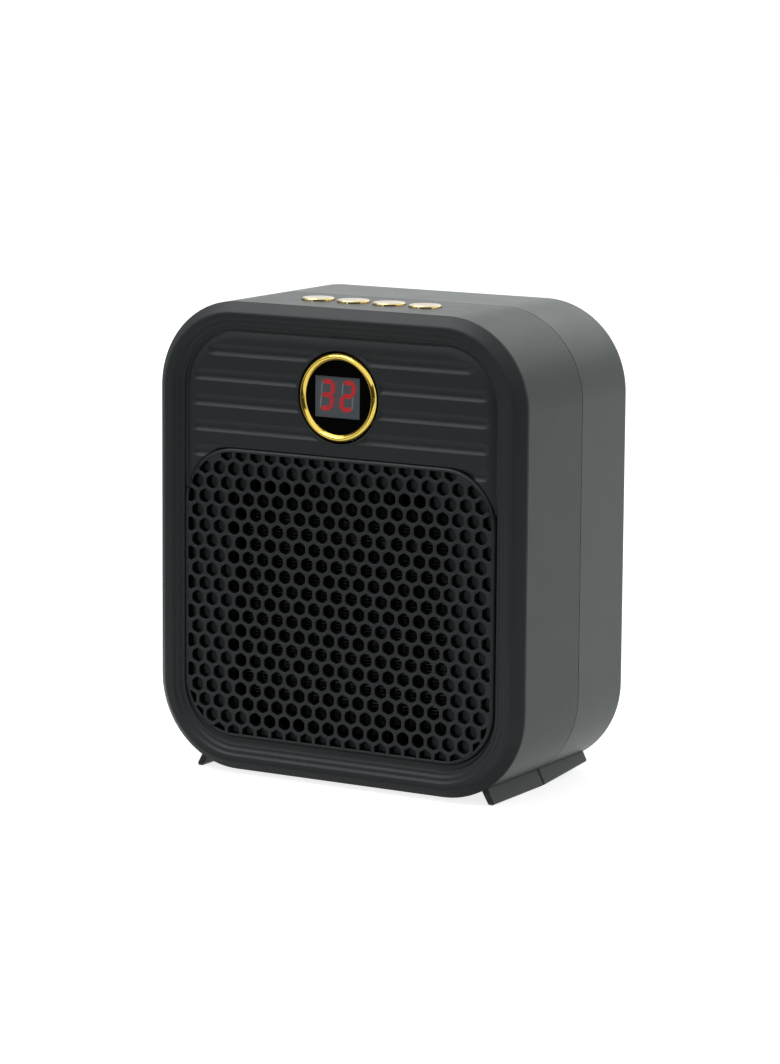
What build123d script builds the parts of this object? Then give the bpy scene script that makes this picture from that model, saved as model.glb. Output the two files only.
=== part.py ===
from build123d import *
from build123d.topology import SkipClean
import os
from math import cos, hypot, radians, sin, sqrt

# Ceramic space heater for a desk. Millimetres, +X to the right seen from the front,
# +Y to the back, +Z up, origin on the floor under the middle of the casing.
# Depths are counted from the front plane to the back, and heights from the casing's middle.

# Casing
body_width = 168.0
body_height = 190.0
body_depth = 88.0
corner_radius = 36.0
front_depth = 48.8
wall = 2.5
back_rounding = 3.0
tongue_length = 2.5
tongue_thickness = 1.4
seam_bevel = 0.35
fit_gap = 0.2

# Foot rails along the lower corners
foot_drop = 1.5
foot_tip_width = 2.9
foot_tip_reach = 18.6
foot_tip_rounding = 0.8
foot_inner_angle = 64.3
foot_outer_angle = 59.5
foot_bite = 0.8
foot_end_bevel = 0.6
foot_rear_rise = 3.0
foot_front = 7.0
foot_back_gap = 2.0
foot_split = 0.4

# Front panel: bevelled rim, three steps down, rolled ribbed field
front_chamfer = 4.0
panel_edge = 0.6
rim_side = 7.8
rim_end = 6.2
step_tread = 2.15
step_rise = 1.1
panel_skin = 1.6
skirt_length = 3.5
skirt_thickness = 1.6
field_gap = 1.2
roll_width = 4.0
roll_layers = 4
groove_pitch = 10.3
groove_chord = 4.6
groove_depth = 1.1
groove_margin = 3.2
grooves_above_display = 2
grooves_below_display = 3

# Honeycomb grille
grille_top_drop = 58.9
grille_margin = 0.6
grille_sill = 3.0
grille_radius = 23.0
grille_gap = 0.3
grille_border = 1.5
grille_proud = 0.6
grille_edge_bevel = 0.5
grille_lip = 1.6
cell_pitch = 6.87
cell_opening = 5.3
grille_thickness = 4.2
least_cell_share = 0.18

# Display
display_drop = 35.0
led_width = 20.4
led_height = 16.3
led_shift = -0.6
led_depth = 8.0
led_recess = 0.4
window_margin = 1.35
window_recess = 0.3
window_flange = 1.9
window_flange_thickness = 1.2
ring_band = 2.9
ring_bevel = 0.7
ring_proud = 1.2
ring_seat = 0.8
ring_gap = 0.7
display_land = 1.0
display_post_gap = 3.0
display_board_margin = 4.0

# Buttons and their board
button_count = 4
button_pitch = 16.4
button_diameter = 13.0
button_setback = 27.5
button_proud = 1.4
button_bevel = 0.5
button_gap = 0.3
button_travel = 0.8
button_stop_gap = 0.1
button_tab_length = 17.0
button_tab_width = 6.0
button_tab_thickness = 1.2
button_stem_diameter = 4.0
button_stem_length = 2.7
switch_size = 6.0
switch_height = 3.5
switch_plunger_diameter = 3.4
switch_plunger_height = 1.0
key_board_width = 18.0
key_post_gap = 2.0

# Air path, heater and fan
air_drop = 3.0
duct_opening = 100.0
duct_wall = 2.0
duct_radius = 15.0
duct_flange = 1.5
skirt_depth = 26.0
shroud_bore = 90.0
shroud_length = 18.0
ear_width = 10.0
ear_thickness = 2.5
ear_post_length = 6.5
ear_post_rise = 5.5
core_width = 92.0
core_height = 88.0
core_depth = 14.0
core_setback = 4.0
end_frame_height = 5.0
end_frame_lug = 40.0
fin_pack_count = 7
ptc_thickness = 3.0
electrode_thickness = 0.8
fin_pitch = 3.6
fin_thickness = 0.4
terminal_width = 6.3
terminal_thickness = 0.8
terminal_length = 5.0
fan_clearance = 2.0
fan_hub_diameter = 30.0
fan_depth = 12.0
fan_setback = 3.0
blade_count = 7
blade_thickness = 1.6
blade_root_pitch = 45.0
blade_tip_pitch = 62.0
hub_wall = 2.0
shaft_diameter = 3.0
shaft_press_gap = 0.02
shaft_running_gap = 0.05
shaft_grip = 14.0
motor_diameter = 36.0
motor_length = 24.0
motor_nose_diameter = 10.0
motor_nose_length = 2.0
bracket_rim = 4.0
bracket_thickness = 3.0
bracket_arm_width = 7.0
bracket_arm_count = 4
bracket_cup_wall = 2.0
bracket_cup_length = 12.0
cutout_diameter = 16.0
cutout_height = 6.0
cutout_setback = 12.0

# Rear wall
slot_height = 3.2
slot_pitch = 7.4
slot_field_width = 92.0
slot_field_height = 86.0
slot_rib = 6.0
gland_inset_x = 39.0
gland_inset_z = 17.0
gland_bore = 6.8
gland_barrel = 13.4
gland_flange = 18.0
gland_flange_thickness = 1.5
gland_length = 8.0

# Boards and fasteners
board_thickness = 1.6
power_board_width = 90.0
power_board_height = 46.0
power_board_rise = 58.0
power_board_stand_off = 12.0
board_post_inset = 5.0
relay_size = (19.0, 15.0, 15.5)
transformer_size = (22.0, 16.0, 18.0)
terminal_block_size = (20.0, 10.0, 8.0)
capacitor_diameter = 10.0
capacitor_length = 16.0
component_margin = 4.0
tip_switch_size = (14.0, 12.0, 22.0)
tip_switch_wall_gap = 12.0
boss_spread = 100.0
boss_wall_gap = 0.5
boss_diameter = 8.0
boss_join = 2.0
well_diameter = 10.0
well_wall = 1.5
well_depth = 26.0
screw_diameter = 3.0
screw_head_diameter = 5.6
screw_head_height = 2.0
screw_bite = 12.0
screw_hole_gap = 0.05
small_post_diameter = 6.0
small_screw_diameter = 2.4
small_screw_head_diameter = 4.6
small_screw_head_height = 1.6
small_screw_bite = 4.0

# Worked-out stations, as depths behind the front plane
front_y = -body_depth / 2
middle_z = foot_drop + body_height / 2
half_width = body_width / 2
half_height = body_height / 2
panel_seat = front_chamfer + panel_edge
field_front = 2 * step_rise
panel_floor = 3 * step_rise
panel_back = panel_floor + panel_skin
pocket_radius = corner_radius - (rim_side + rim_end) / 2
grille_front = field_front - grille_proud
grille_back = grille_front + grille_thickness
duct_front = grille_back
bulkhead_front = duct_front + skirt_depth - duct_wall
duct_step = duct_front + skirt_depth
duct_back = duct_step + shroud_length
ear_front = panel_back + ear_post_length
core_front = duct_front + core_setback
fan_front = duct_step + fan_setback
fan_back = fan_front + fan_depth
bracket_back = duct_back + bracket_thickness
motor_front = bracket_back
motor_back = motor_front + motor_length
rear_inside = body_depth - wall
boss_end = front_depth + boss_join
well_floor = body_depth - well_depth
board_back = rear_inside - power_board_stand_off
board_front = board_back - board_thickness

# Worked-out places across the front, from the casing's middle
field_half_width = half_width - rim_side - 2 * step_tread - field_gap
field_half_height = half_height - rim_end - 2 * step_tread - field_gap
field_radius = pocket_radius - 2 * step_tread - field_gap
grille_half_width = half_width - rim_side - 2 * step_tread - grille_margin
grille_top = half_height - grille_top_drop
grille_bottom = -half_height + rim_end + 2 * step_tread + grille_sill
grille_width = 2 * grille_half_width
grille_height = grille_top - grille_bottom
grille_middle = (grille_top + grille_bottom) / 2
row_pitch = cell_pitch * sqrt(3) / 2
air_z = grille_middle - air_drop
display_z = half_height - display_drop
window_diameter = hypot(led_width + 2 * fit_gap, led_height + 2 * fit_gap) + 2 * window_margin
ring_bore = window_diameter + fit_gap
ring_outside = ring_bore + 2 * ring_band
display_post_x = window_diameter / 2 + window_flange + display_post_gap + small_post_diameter / 2
display_board_front = field_front + window_recess + led_recess + led_depth
boss_x = half_width - wall - fit_gap - boss_wall_gap - boss_diameter / 2
boss_z = boss_spread / 2
ear_x = duct_opening / 2 - ear_width / 2
ear_top = grille_top + grille_lip + ear_post_rise
ear_bottom = (grille_bottom - grille_lip - half_height + wall + skirt_thickness) / 2
duct_half = duct_opening / 2 + duct_wall
button_middle = (button_count - 1) / 2
under_top = half_height - wall
tab_top = under_top - fit_gap
stem_end = tab_top - button_tab_thickness - button_stem_length
plunger_top = stem_end - button_travel - button_stop_gap
switch_seat = plunger_top - switch_plunger_height - switch_height
key_post_x = button_middle * button_pitch + button_diameter / 2 + key_post_gap + small_post_diameter / 2
gland_x = half_width - gland_inset_x
gland_z = -half_height + gland_inset_z
board_post_x = power_board_width / 2 - board_post_inset
board_post_z = power_board_height / 2 - board_post_inset


def depth_plane(depth):
    """Plane facing the front at a depth, with X across and its own Y upwards from the middle."""
    return Plane(origin=(0, front_y + depth, middle_z), x_dir=(1, 0, 0), z_dir=(0, -1, 0))


def level_plane(height):
    """Plane facing up at a height above the middle, with its own Y as the depth."""
    return Plane(origin=(0, front_y, middle_z + height))


def slab(profile, start, end):
    """A front-view profile carried back from one depth to another."""
    return extrude(depth_plane(start) * profile, amount=end - start, dir=(0, 1, 0))


def column(profile, low, high):
    """A top-view profile carried up from one height to another."""
    return extrude(level_plane(low) * profile, amount=high - low, dir=(0, 0, 1))


def outline(inset=0.0):
    """The casing's front view, drawn in by an inset."""
    return RectangleRounded(body_width - 2 * inset, body_height - 2 * inset, corner_radius - inset)


def pocket(step):
    """The front view of one of the panel's steps, counted from the rim."""
    drawn_in = step * step_tread
    return RectangleRounded(
        body_width - 2 * (rim_side + drawn_in),
        body_height - 2 * (rim_end + drawn_in),
        pocket_radius - drawn_in,
    )


def field(inset):
    """The front view of the ribbed field, drawn in by an inset."""
    return RectangleRounded(
        2 * (field_half_width - inset), 2 * (field_half_height - inset), field_radius - inset
    )


def grille_outline(grow):
    """The front view of the grille, grown by an allowance."""
    return Pos(0, grille_middle) * RectangleRounded(
        grille_width + 2 * grow, grille_height + 2 * grow, grille_radius + grow
    )


def disc(x, z, diameter):
    """A circle in the front view."""
    return Pos(x, z) * Circle(diameter / 2)


def corners(x, z):
    """The four places at plus and minus x and z."""
    return [(sx * x, sz * z) for sx in (-1, 1) for sz in (-1, 1)]


def small_screw(x, z, seat, toward_back):
    """A pan-head screw whose head sits on a seat depth and whose shank runs on from it."""
    way = 1 if toward_back else -1
    head = slab(disc(x, z, small_screw_head_diameter), *sorted((seat, seat - way * small_screw_head_height)))
    bite = board_thickness + small_screw_bite
    shank = slab(disc(x, z, small_screw_diameter), *sorted((seat, seat + way * bite)))
    return head + shank


def feet(start, end, rise):
    """Two splayed rails along the lower corners, rooted in the corner wall, that climb to the back."""
    centre_x = half_width - corner_radius
    centre_z = -half_height + corner_radius
    root_radius = corner_radius - foot_bite
    inner = radians(foot_inner_angle)
    outer = radians(foot_outer_angle)
    floor = -half_height - foot_drop
    rails = []
    for side in (-1, 1):
        tips = [
            (centre_x + root_radius * cos(inner), centre_z - root_radius * sin(inner)),
            (centre_x + foot_tip_reach, floor),
            (centre_x + foot_tip_reach + foot_tip_width, floor),
            (centre_x + root_radius * cos(outer), centre_z - root_radius * sin(outer)),
        ]
        section = Polygon(*[(side * x, z) for x, z in tips], align=None)
        section = fillet(section.vertices().sort_by(Axis.Y)[:2], foot_tip_rounding)
        length = end - start
        rail = extrude(depth_plane(start) * section, amount=hypot(length, rise), dir=(0, length, rise))
        rails.append(chamfer(rail.faces().filter_by(Axis.Y).edges(), foot_end_bevel))
    return rails


def make_front_housing():
    """Sleeve between the panel and the parting line, with button holes and key board posts."""
    shell = slab(outline(), panel_seat, front_depth)
    ends = shell.faces().filter_by(Axis.Y).edges()
    shell = chamfer(ends, seam_bevel)
    shell += feet(foot_front, front_depth - foot_split / 2, 0)
    shell -= slab(outline(wall), panel_seat, front_depth)
    hole = button_diameter + 2 * button_gap
    for index in range(button_count):
        x = (index - button_middle) * button_pitch
        shell -= column(Pos(x, button_setback) * Circle(hole / 2), under_top, half_height)
    for side in (-1, 1):
        place = Pos(side * key_post_x, button_setback)
        post = column(place * Circle(small_post_diameter / 2), switch_seat, under_top)
        bore = column(
            place * Circle(small_screw_diameter / 2 + screw_hole_gap),
            switch_seat,
            switch_seat + small_screw_bite + screw_hole_gap,
        )
        shell += post - bore
    return shell


def make_rear_housing():
    """Cup behind the parting line, with intake slots, screw wells, board posts and gland hole."""
    shell = slab(outline(), front_depth, body_depth)
    rim = shell.faces().sort_by(Axis.Y)[-1].edges()
    shell = fillet(rim, back_rounding)
    shell += feet(front_depth + foot_split / 2, body_depth - foot_back_gap, foot_rear_rise)
    shell -= slab(outline(wall), front_depth, rear_inside)
    tongue = slab(outline(wall + fit_gap), front_depth - tongue_length, front_depth + tongue_length)
    tongue -= slab(
        outline(wall + fit_gap + tongue_thickness), front_depth - tongue_length, front_depth + tongue_length
    )
    for x, z in corners(boss_x, boss_z):
        notch = disc(x, z, boss_diameter + 2 * fit_gap)
        tongue -= slab(notch, front_depth - tongue_length, boss_end)
    bond = slab(outline(wall), front_depth, front_depth + tongue_length)
    bond -= slab(outline(wall + fit_gap), front_depth, front_depth + tongue_length)
    shell += tongue + bond
    rows = int(slot_field_height / slot_pitch)
    length = (slot_field_width - slot_rib) / 2
    for row in range(rows):
        z = air_z + (row - (rows - 1) / 2) * slot_pitch
        for side in (-1, 1):
            x = side * (length + slot_rib) / 2
            shell -= slab(Pos(x, z) * Rectangle(length, slot_height), rear_inside, body_depth)
    for x, z in corners(boss_x, boss_z):
        shell += slab(disc(x, z, well_diameter), boss_end, rear_inside)
        shell -= slab(disc(x, z, well_diameter - 2 * well_wall), well_floor, body_depth)
        shell -= slab(disc(x, z, screw_diameter + 2 * screw_hole_gap), boss_end, well_floor)
    for x, z in corners(board_post_x, board_post_z):
        post = slab(disc(x, power_board_rise + z, small_post_diameter), board_back, rear_inside)
        bore_depth = board_back + small_screw_bite + screw_hole_gap
        bore = disc(x, power_board_rise + z, small_screw_diameter + 2 * screw_hole_gap)
        shell += post - slab(bore, board_back, bore_depth)
    shell -= slab(disc(gland_x, gland_z, gland_barrel + 2 * fit_gap), rear_inside, body_depth)
    return shell


def make_field():
    """Solid under the rolled field: a flat top whose edge falls away on one arc, in layers."""
    roll_radius = (roll_width**2 + step_rise**2) / (2 * step_rise)
    sections = []
    for layer in range(roll_layers + 1):
        run = roll_width * (1 - layer / roll_layers)
        fall = roll_radius - sqrt(roll_radius**2 - run**2)
        sections.append(depth_plane(field_front + fall) * field(roll_width - run))
    return loft(sections, ruled=True)


def make_groove(z):
    """A scooped groove across the field: part of a round bar with ball ends."""
    radius = ((groove_chord / 2) ** 2 + groove_depth**2) / (2 * groove_depth)
    centre = front_y + field_front + groove_depth - radius
    arc_z = field_half_height - field_radius
    half_length = field_half_width - groove_margin
    if z > arc_z:
        reach = field_radius - groove_margin
        half_length += sqrt(reach**2 - (z - arc_z) ** 2) - reach
    end_x = half_length - groove_chord / 2
    bar = Pos(0, centre, middle_z + z) * Rot(0, 90, 0) * Cylinder(radius, 2 * end_x)
    ends = [Pos(side * end_x, centre, middle_z + z) * Sphere(radius) for side in (-1, 1)]
    return bar + ends


def make_front_panel():
    """Face moulding: bevelled rim, steps, ribbed field, grille opening, display hole and posts."""
    plate = slab(outline(), 0, panel_seat)
    plate = chamfer(plate.faces().sort_by(Axis.Y)[0].edges(), front_chamfer)
    plate += slab(outline(wall + fit_gap), panel_seat, panel_back)
    skirt = slab(outline(wall + fit_gap), panel_back, panel_back + skirt_length)
    skirt -= slab(outline(wall + fit_gap + skirt_thickness), panel_back, panel_back + skirt_length)
    plate += skirt
    plate -= slab(pocket(0), 0, step_rise)
    plate -= slab(pocket(1), step_rise, field_front)
    above = Pos(0, grille_middle + body_height / 2) * Rectangle(body_width, body_height)
    raised = make_field() & slab(above, 0, panel_back)
    plate -= slab(pocket(2), field_front, panel_floor) - raised
    land = slab(disc(0, display_z, ring_outside + 2 * (ring_gap + display_land)), 0, panel_back)
    for index in range(grooves_above_display + grooves_below_display):
        z = display_z + (grooves_above_display - 0.5 - index) * groove_pitch
        plate -= make_groove(z) - land
    plate -= slab(grille_outline(grille_gap), 0, panel_back)
    plate -= slab(disc(0, display_z, ring_outside + 2 * ring_gap), 0, field_front + ring_seat)
    plate -= slab(disc(0, display_z, window_diameter + 2 * fit_gap), 0, panel_back)
    for x, z in corners(boss_x, boss_z):
        plate += slab(disc(x, z, boss_diameter), panel_back, boss_end)
        pilot = disc(x, z, screw_diameter + 2 * screw_hole_gap)
        plate -= slab(pilot, boss_end - screw_bite - screw_hole_gap, boss_end)
    for x in (-ear_x, ear_x):
        for z in (ear_bottom, ear_top):
            plate += slab(disc(x, z, small_post_diameter), panel_back, ear_front)
            pilot = disc(x, z, small_screw_diameter + 2 * screw_hole_gap)
            plate -= slab(pilot, ear_front - small_screw_bite - screw_hole_gap, ear_front)
    for x in (-display_post_x, display_post_x):
        plate += slab(disc(x, display_z, small_post_diameter), panel_back, display_board_front)
        pilot = disc(x, display_z, small_screw_diameter + 2 * screw_hole_gap)
        start = display_board_front - small_screw_bite - screw_hole_gap
        plate -= slab(pilot, start, display_board_front)
    return plate


def in_round_rectangle(x, z, half_w, half_h, radius):
    """Whether a point lies in a rounded rectangle about the origin."""
    over_x = max(abs(x) - half_w + radius, 0)
    over_z = max(abs(z) - half_h + radius, 0)
    inside = abs(x) <= half_w and abs(z) <= half_h
    return inside and hypot(over_x, over_z) <= radius


def grille_cells():
    """Outlines of the honeycomb's cells, clipped to the space inside the grille's border."""
    half_w = grille_half_width - grille_border
    half_h = grille_height / 2 - grille_border
    radius = grille_radius - grille_border
    region = Pos(0, grille_middle) * RectangleRounded(2 * half_w, 2 * half_h, radius)
    cell_radius = cell_opening / sqrt(3)
    full_area = cell_opening**2 * sqrt(3) / 2
    rows = int(half_h / row_pitch) + 2
    columns = int(half_w / cell_pitch) + 2
    cells = []
    for row in range(-rows, rows):
        z = (row + 0.5) * row_pitch
        for column_index in range(-columns, columns + 1):
            x = (column_index + (row % 2) / 2) * cell_pitch
            tips = [
                (x + cell_radius * cos(radians(a)), z + cell_radius * sin(radians(a)))
                for a in range(30, 390, 60)
            ]
            inside = [in_round_rectangle(tx, tz, half_w, half_h, radius) for tx, tz in tips]
            if not any(inside):
                continue
            cell = Polygon(*[(tx, tz + grille_middle) for tx, tz in tips], align=None)
            if not all(inside):
                cell = cell & region
                if cell.area < least_cell_share * full_area:
                    continue
            cells.append(cell.face().outer_wire())
    return cells


def make_grille():
    """Honeycomb insert with a bevelled front edge and a retaining lip above and below."""
    rim = grille_outline(0).face().outer_wire()
    comb = Face(rim, grille_cells())
    comb = depth_plane(grille_front) * comb
    comb = extrude(comb, amount=grille_thickness, dir=(0, 1, 0), clean=False)
    front = comb.faces().sort_by(Axis.Y)[0]
    comb = chamfer(front.outer_wire().edges(), grille_edge_bevel)
    lip_width = grille_width - 2 * grille_radius
    lips = Pos(0, grille_middle) * Rectangle(lip_width, grille_height + 2 * grille_lip)
    lips -= Pos(0, grille_middle) * Rectangle(lip_width, grille_height)
    with SkipClean():
        return comb + slab(lips, panel_back, grille_back)


def make_display_ring():
    """Bevelled trim ring seated in the panel round the display."""
    front = field_front - ring_proud
    ring = slab(disc(0, display_z, ring_outside), front, field_front + ring_seat)
    ring -= slab(disc(0, display_z, ring_bore), front, field_front + ring_seat)
    return chamfer(ring.faces().sort_by(Axis.Y)[0].edges(), ring_bevel)


def make_display_window():
    """Dark window let into the ring from behind, with a flange and an opening for the digits."""
    flange_back = panel_back + window_flange_thickness
    window = slab(disc(0, display_z, window_diameter), field_front + window_recess, flange_back)
    window += slab(disc(0, display_z, window_diameter + 2 * window_flange), panel_back, flange_back)
    hole = Pos(led_shift, display_z) * Rectangle(led_width + 2 * fit_gap, led_height + 2 * fit_gap)
    return window - slab(hole, field_front + window_recess, flange_back)


def make_led_display():
    """Two-digit module that stands on the display board and fills the window's opening."""
    face = Pos(led_shift, display_z) * Rectangle(led_width, led_height)
    return slab(face, display_board_front - led_depth, display_board_front)


def make_display_board():
    """Board behind the window, screwed to two posts of the panel."""
    width = 2 * display_post_x + small_post_diameter + display_board_margin
    face = Pos(0, display_z) * Rectangle(width, led_height + 2 * display_board_margin)
    board = slab(face, display_board_front, display_board_front + board_thickness)
    for x in (-display_post_x, display_post_x):
        bore = disc(x, display_z, small_screw_diameter + 2 * screw_hole_gap)
        board -= slab(bore, display_board_front, display_board_front + board_thickness)
    return board


def make_display_screws():
    """Two screws through the display board."""
    seat = display_board_front + board_thickness
    return [small_screw(x, display_z, seat, False) for x in (-display_post_x, display_post_x)]


def make_button(index):
    """Bevelled round cap with retaining tabs under the casing's top and a stem to its switch."""
    place = Pos((index - button_middle) * button_pitch, button_setback)
    cap = column(place * Circle(button_diameter / 2), tab_top, half_height + button_proud)
    cap = chamfer(cap.faces().sort_by(Axis.Z)[-1].edges(), button_bevel)
    tab = place * Rectangle(button_tab_width, button_tab_length)
    cap += column(tab, tab_top - button_tab_thickness, tab_top)
    stem = place * Circle(button_stem_diameter / 2)
    return cap + column(stem, stem_end, tab_top - button_tab_thickness)


def make_key_board():
    """Board under the buttons, screwed up against two posts of the casing's top."""
    width = 2 * key_post_x + small_post_diameter + key_post_gap
    board = column(
        Pos(0, button_setback) * Rectangle(width, key_board_width),
        switch_seat - board_thickness,
        switch_seat,
    )
    for x in (-key_post_x, key_post_x):
        bore = Pos(x, button_setback) * Circle(small_screw_diameter / 2 + screw_hole_gap)
        board -= column(bore, switch_seat - board_thickness, switch_seat)
    return board


def make_tact_switches():
    """A square push switch with its plunger under each button."""
    switches = []
    for index in range(button_count):
        place = Pos((index - button_middle) * button_pitch, button_setback)
        case = column(
            place * Rectangle(switch_size, switch_size), switch_seat, switch_seat + switch_height
        )
        plunger = place * Circle(switch_plunger_diameter / 2)
        switches.append(case + column(plunger, switch_seat + switch_height, plunger_top))
    return switches


def make_key_board_screws():
    """Two screws up through the key board."""
    screws = []
    low = switch_seat - board_thickness
    for x in (-key_post_x, key_post_x):
        place = Pos(x, button_setback)
        head = column(
            place * Circle(small_screw_head_diameter / 2), low - small_screw_head_height, low
        )
        shank = column(place * Circle(small_screw_diameter / 2), low, switch_seat + small_screw_bite)
        screws.append(head + shank)
    return screws


def make_air_duct():
    """Square tunnel that steps to the round fan shroud, with a flange that closes the outer cells."""
    middle = Pos(0, air_z)
    outside = middle * RectangleRounded(2 * duct_half, 2 * duct_half, duct_radius + duct_wall)
    inside = middle * RectangleRounded(duct_opening, duct_opening, duct_radius)
    duct = slab(outside, duct_front, duct_step)
    duct += slab(grille_outline(0), duct_front, duct_front + duct_flange)
    duct -= slab(inside, duct_front, bulkhead_front)
    duct += slab(disc(0, air_z, shroud_bore + 2 * duct_wall), duct_step, duct_back)
    duct -= slab(disc(0, air_z, shroud_bore), bulkhead_front, duct_back)
    for x in (-ear_x, ear_x):
        for z in (ear_bottom, ear_top):
            low, high = sorted((z, air_z))
            reach = RectangleRounded(ear_width, high - low + ear_width, ear_width / 2 - fit_gap)
            ear = slab(Pos(x, (low + high) / 2) * reach, ear_front, ear_front + ear_thickness)
            duct += ear - slab(outside, ear_front, ear_front + ear_thickness)
            bore = disc(x, z, small_screw_diameter + 2 * screw_hole_gap)
            duct -= slab(bore, ear_front, ear_front + ear_thickness)
    return duct


def make_duct_screws():
    """Four screws through the duct's ears into the panel's posts."""
    seat = ear_front + ear_thickness
    screws = []
    for x in (-ear_x, ear_x):
        for z in (ear_bottom, ear_top):
            head = slab(disc(x, z, small_screw_head_diameter), seat, seat + small_screw_head_height)
            shank = slab(disc(x, z, small_screw_diameter), ear_front - small_screw_bite, seat)
            screws.append(head + shank)
    return screws


def core_columns():
    """Fin pack width and the places of the packs and of the heating bars between them."""
    bars = fin_pack_count - 1
    bar_width = ptc_thickness + 2 * electrode_thickness
    pack_width = (core_width - bars * bar_width) / fin_pack_count
    first = -core_width / 2 + pack_width / 2
    packs = [first + index * (pack_width + bar_width) for index in range(fin_pack_count)]
    between = [packs[index] + (pack_width + bar_width) / 2 for index in range(bars)]
    return pack_width, packs, between


def make_heater_end_frame(side):
    """Insulating bar across the end of the heater core, with a lug against the duct."""
    inner = core_height / 2 - end_frame_height
    lug_top = duct_opening / 2 - fit_gap
    bar = Pos(0, air_z + side * (inner + core_height / 2) / 2) * Rectangle(core_width, end_frame_height)
    lug_middle = side * (core_height / 2 + lug_top) / 2
    lug = Pos(0, air_z + lug_middle) * Rectangle(end_frame_lug, lug_top - core_height / 2)
    frame = slab(bar, core_front, core_front + core_depth)
    return frame + slab(lug, core_front, core_front + core_depth)


def make_fin_packs():
    """Folded fin strips: one zigzag ribbon per pack, folded from side to side."""
    pack_width, packs, _ = core_columns()
    height = core_height - 2 * end_frame_height
    folds = int(height / fin_pitch)
    start = -folds * fin_pitch / 2
    half = pack_width / 2
    ribbons = []
    for x in packs:
        ribbon = None
        for fold in range(folds + 1):
            z = start + fold * fin_pitch
            fin = Pos(x, air_z + z) * Rectangle(pack_width, fin_thickness)
            ribbon = fin if ribbon is None else ribbon + fin
            if fold < folds:
                side = 1 if fold % 2 == 0 else -1
                edge = Pos(
                    x + side * (half - fin_thickness / 2), air_z + z + fin_pitch / 2
                ) * Rectangle(fin_thickness, fin_pitch + fin_thickness)
                ribbon = ribbon + edge
        ribbons.append(slab(ribbon, core_front, core_front + core_depth))
    return ribbons


def make_ptc_bars():
    """Ceramic heating bars between the fin packs."""
    _, _, between = core_columns()
    height = core_height - 2 * end_frame_height
    bars = []
    for x in between:
        face = Pos(x, air_z) * Rectangle(ptc_thickness, height)
        bars.append(slab(face, core_front, core_front + core_depth))
    return bars


def make_electrodes():
    """Contact strips on both faces of each heating bar."""
    _, _, between = core_columns()
    height = core_height - 2 * end_frame_height
    strips = []
    for x in between:
        for side in (-1, 1):
            place = Pos(x + side * (ptc_thickness + electrode_thickness) / 2, air_z)
            strips.append(
                slab(place * Rectangle(electrode_thickness, height), core_front, core_front + core_depth)
            )
    return strips


def make_heater_terminals():
    """Blade terminals that stand back from the upper end frame."""
    terminals = []
    z = air_z + core_height / 2 - end_frame_height / 2
    start = core_front + core_depth
    for side in (-1, 1):
        place = Pos(side * end_frame_lug / 2, z)
        blade = place * Rectangle(terminal_width, terminal_thickness)
        terminals.append(slab(blade, start, start + terminal_length))
    return terminals


def make_thermal_cutout():
    """Round thermal cut-out seated on the top of the air duct."""
    base = air_z + duct_half
    place = Pos(0, duct_front + cutout_setback)
    return column(place * Circle(cutout_diameter / 2), base, base + cutout_height)


def make_fan_impeller():
    """Seven pitched blades round a cup-shaped hub."""
    hub_radius = fan_hub_diameter / 2
    tip_radius = shroud_bore / 2 - fan_clearance
    middle = Pos(0, front_y + (fan_front + fan_back) / 2, middle_z + air_z)
    hub = slab(disc(0, air_z, fan_hub_diameter), fan_front, fan_back)
    blades = []
    for index in range(blade_count):
        sections = []
        ends = (
            (hub_radius - hub_wall / 2, blade_root_pitch),
            (tip_radius + blade_thickness, blade_tip_pitch),
        )
        for radius, pitch in ends:
            lean = radians(pitch)
            chord = (fan_depth - blade_thickness) / cos(lean)
            plane = Plane(origin=(radius, 0, 0), x_dir=(0, cos(lean), sin(lean)), z_dir=(1, 0, 0))
            sections.append(plane * Rectangle(chord, blade_thickness * cos(lean)))
        blade = loft(sections, ruled=True)
        blades.append(middle * Rot(0, index * 360 / blade_count, 0) * blade)
    disc_of_tips = slab(disc(0, air_z, 2 * tip_radius), fan_front, fan_back)
    fan = hub + [blade & disc_of_tips for blade in blades]
    fan -= slab(disc(0, air_z, fan_hub_diameter - 2 * hub_wall), fan_front + hub_wall, fan_back)
    fan += slab(disc(0, air_z, motor_nose_diameter), fan_front + hub_wall, fan_back)
    bore = disc(0, air_z, shaft_diameter + 2 * shaft_press_gap)
    return fan - slab(bore, fan_front + hub_wall, fan_back)


def make_motor_shaft():
    """Shaft from the fan's hub into the motor."""
    return slab(disc(0, air_z, shaft_diameter), fan_front + hub_wall, motor_front + shaft_grip)


def make_fan_motor():
    """Round motor with a bearing nose and a blind shaft bore."""
    motor = slab(disc(0, air_z, motor_diameter), motor_front, motor_back)
    motor += slab(disc(0, air_z, motor_nose_diameter), motor_front - motor_nose_length, motor_front)
    bore = disc(0, air_z, shaft_diameter + 2 * shaft_running_gap)
    return motor - slab(bore, motor_front - motor_nose_length, motor_front + shaft_grip + fit_gap)


def make_motor_bracket():
    """Spider on the back of the shroud whose cup holds the motor."""
    outside = shroud_bore + 2 * duct_wall
    cup_outside = motor_diameter + 2 * (fit_gap + bracket_cup_wall)
    rim = slab(disc(0, air_z, outside), duct_back, bracket_back)
    rim -= slab(disc(0, air_z, outside - 2 * bracket_rim), duct_back, bracket_back)
    reach = (outside - bracket_rim) / 2
    for index in range(bracket_arm_count):
        arm = Pos(0, air_z) * Rot(0, 0, 45 + index * 360 / bracket_arm_count)
        arm = arm * Pos(reach / 2, 0) * Rectangle(reach, bracket_arm_width)
        rim += slab(arm, duct_back, bracket_back)
    rim += slab(disc(0, air_z, cup_outside), duct_back, bracket_back + bracket_cup_length)
    rim -= slab(
        disc(0, air_z, motor_diameter + 2 * fit_gap), bracket_back, bracket_back + bracket_cup_length
    )
    return rim - slab(disc(0, air_z, motor_nose_diameter + 2 * fit_gap), duct_back, bracket_back)


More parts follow.
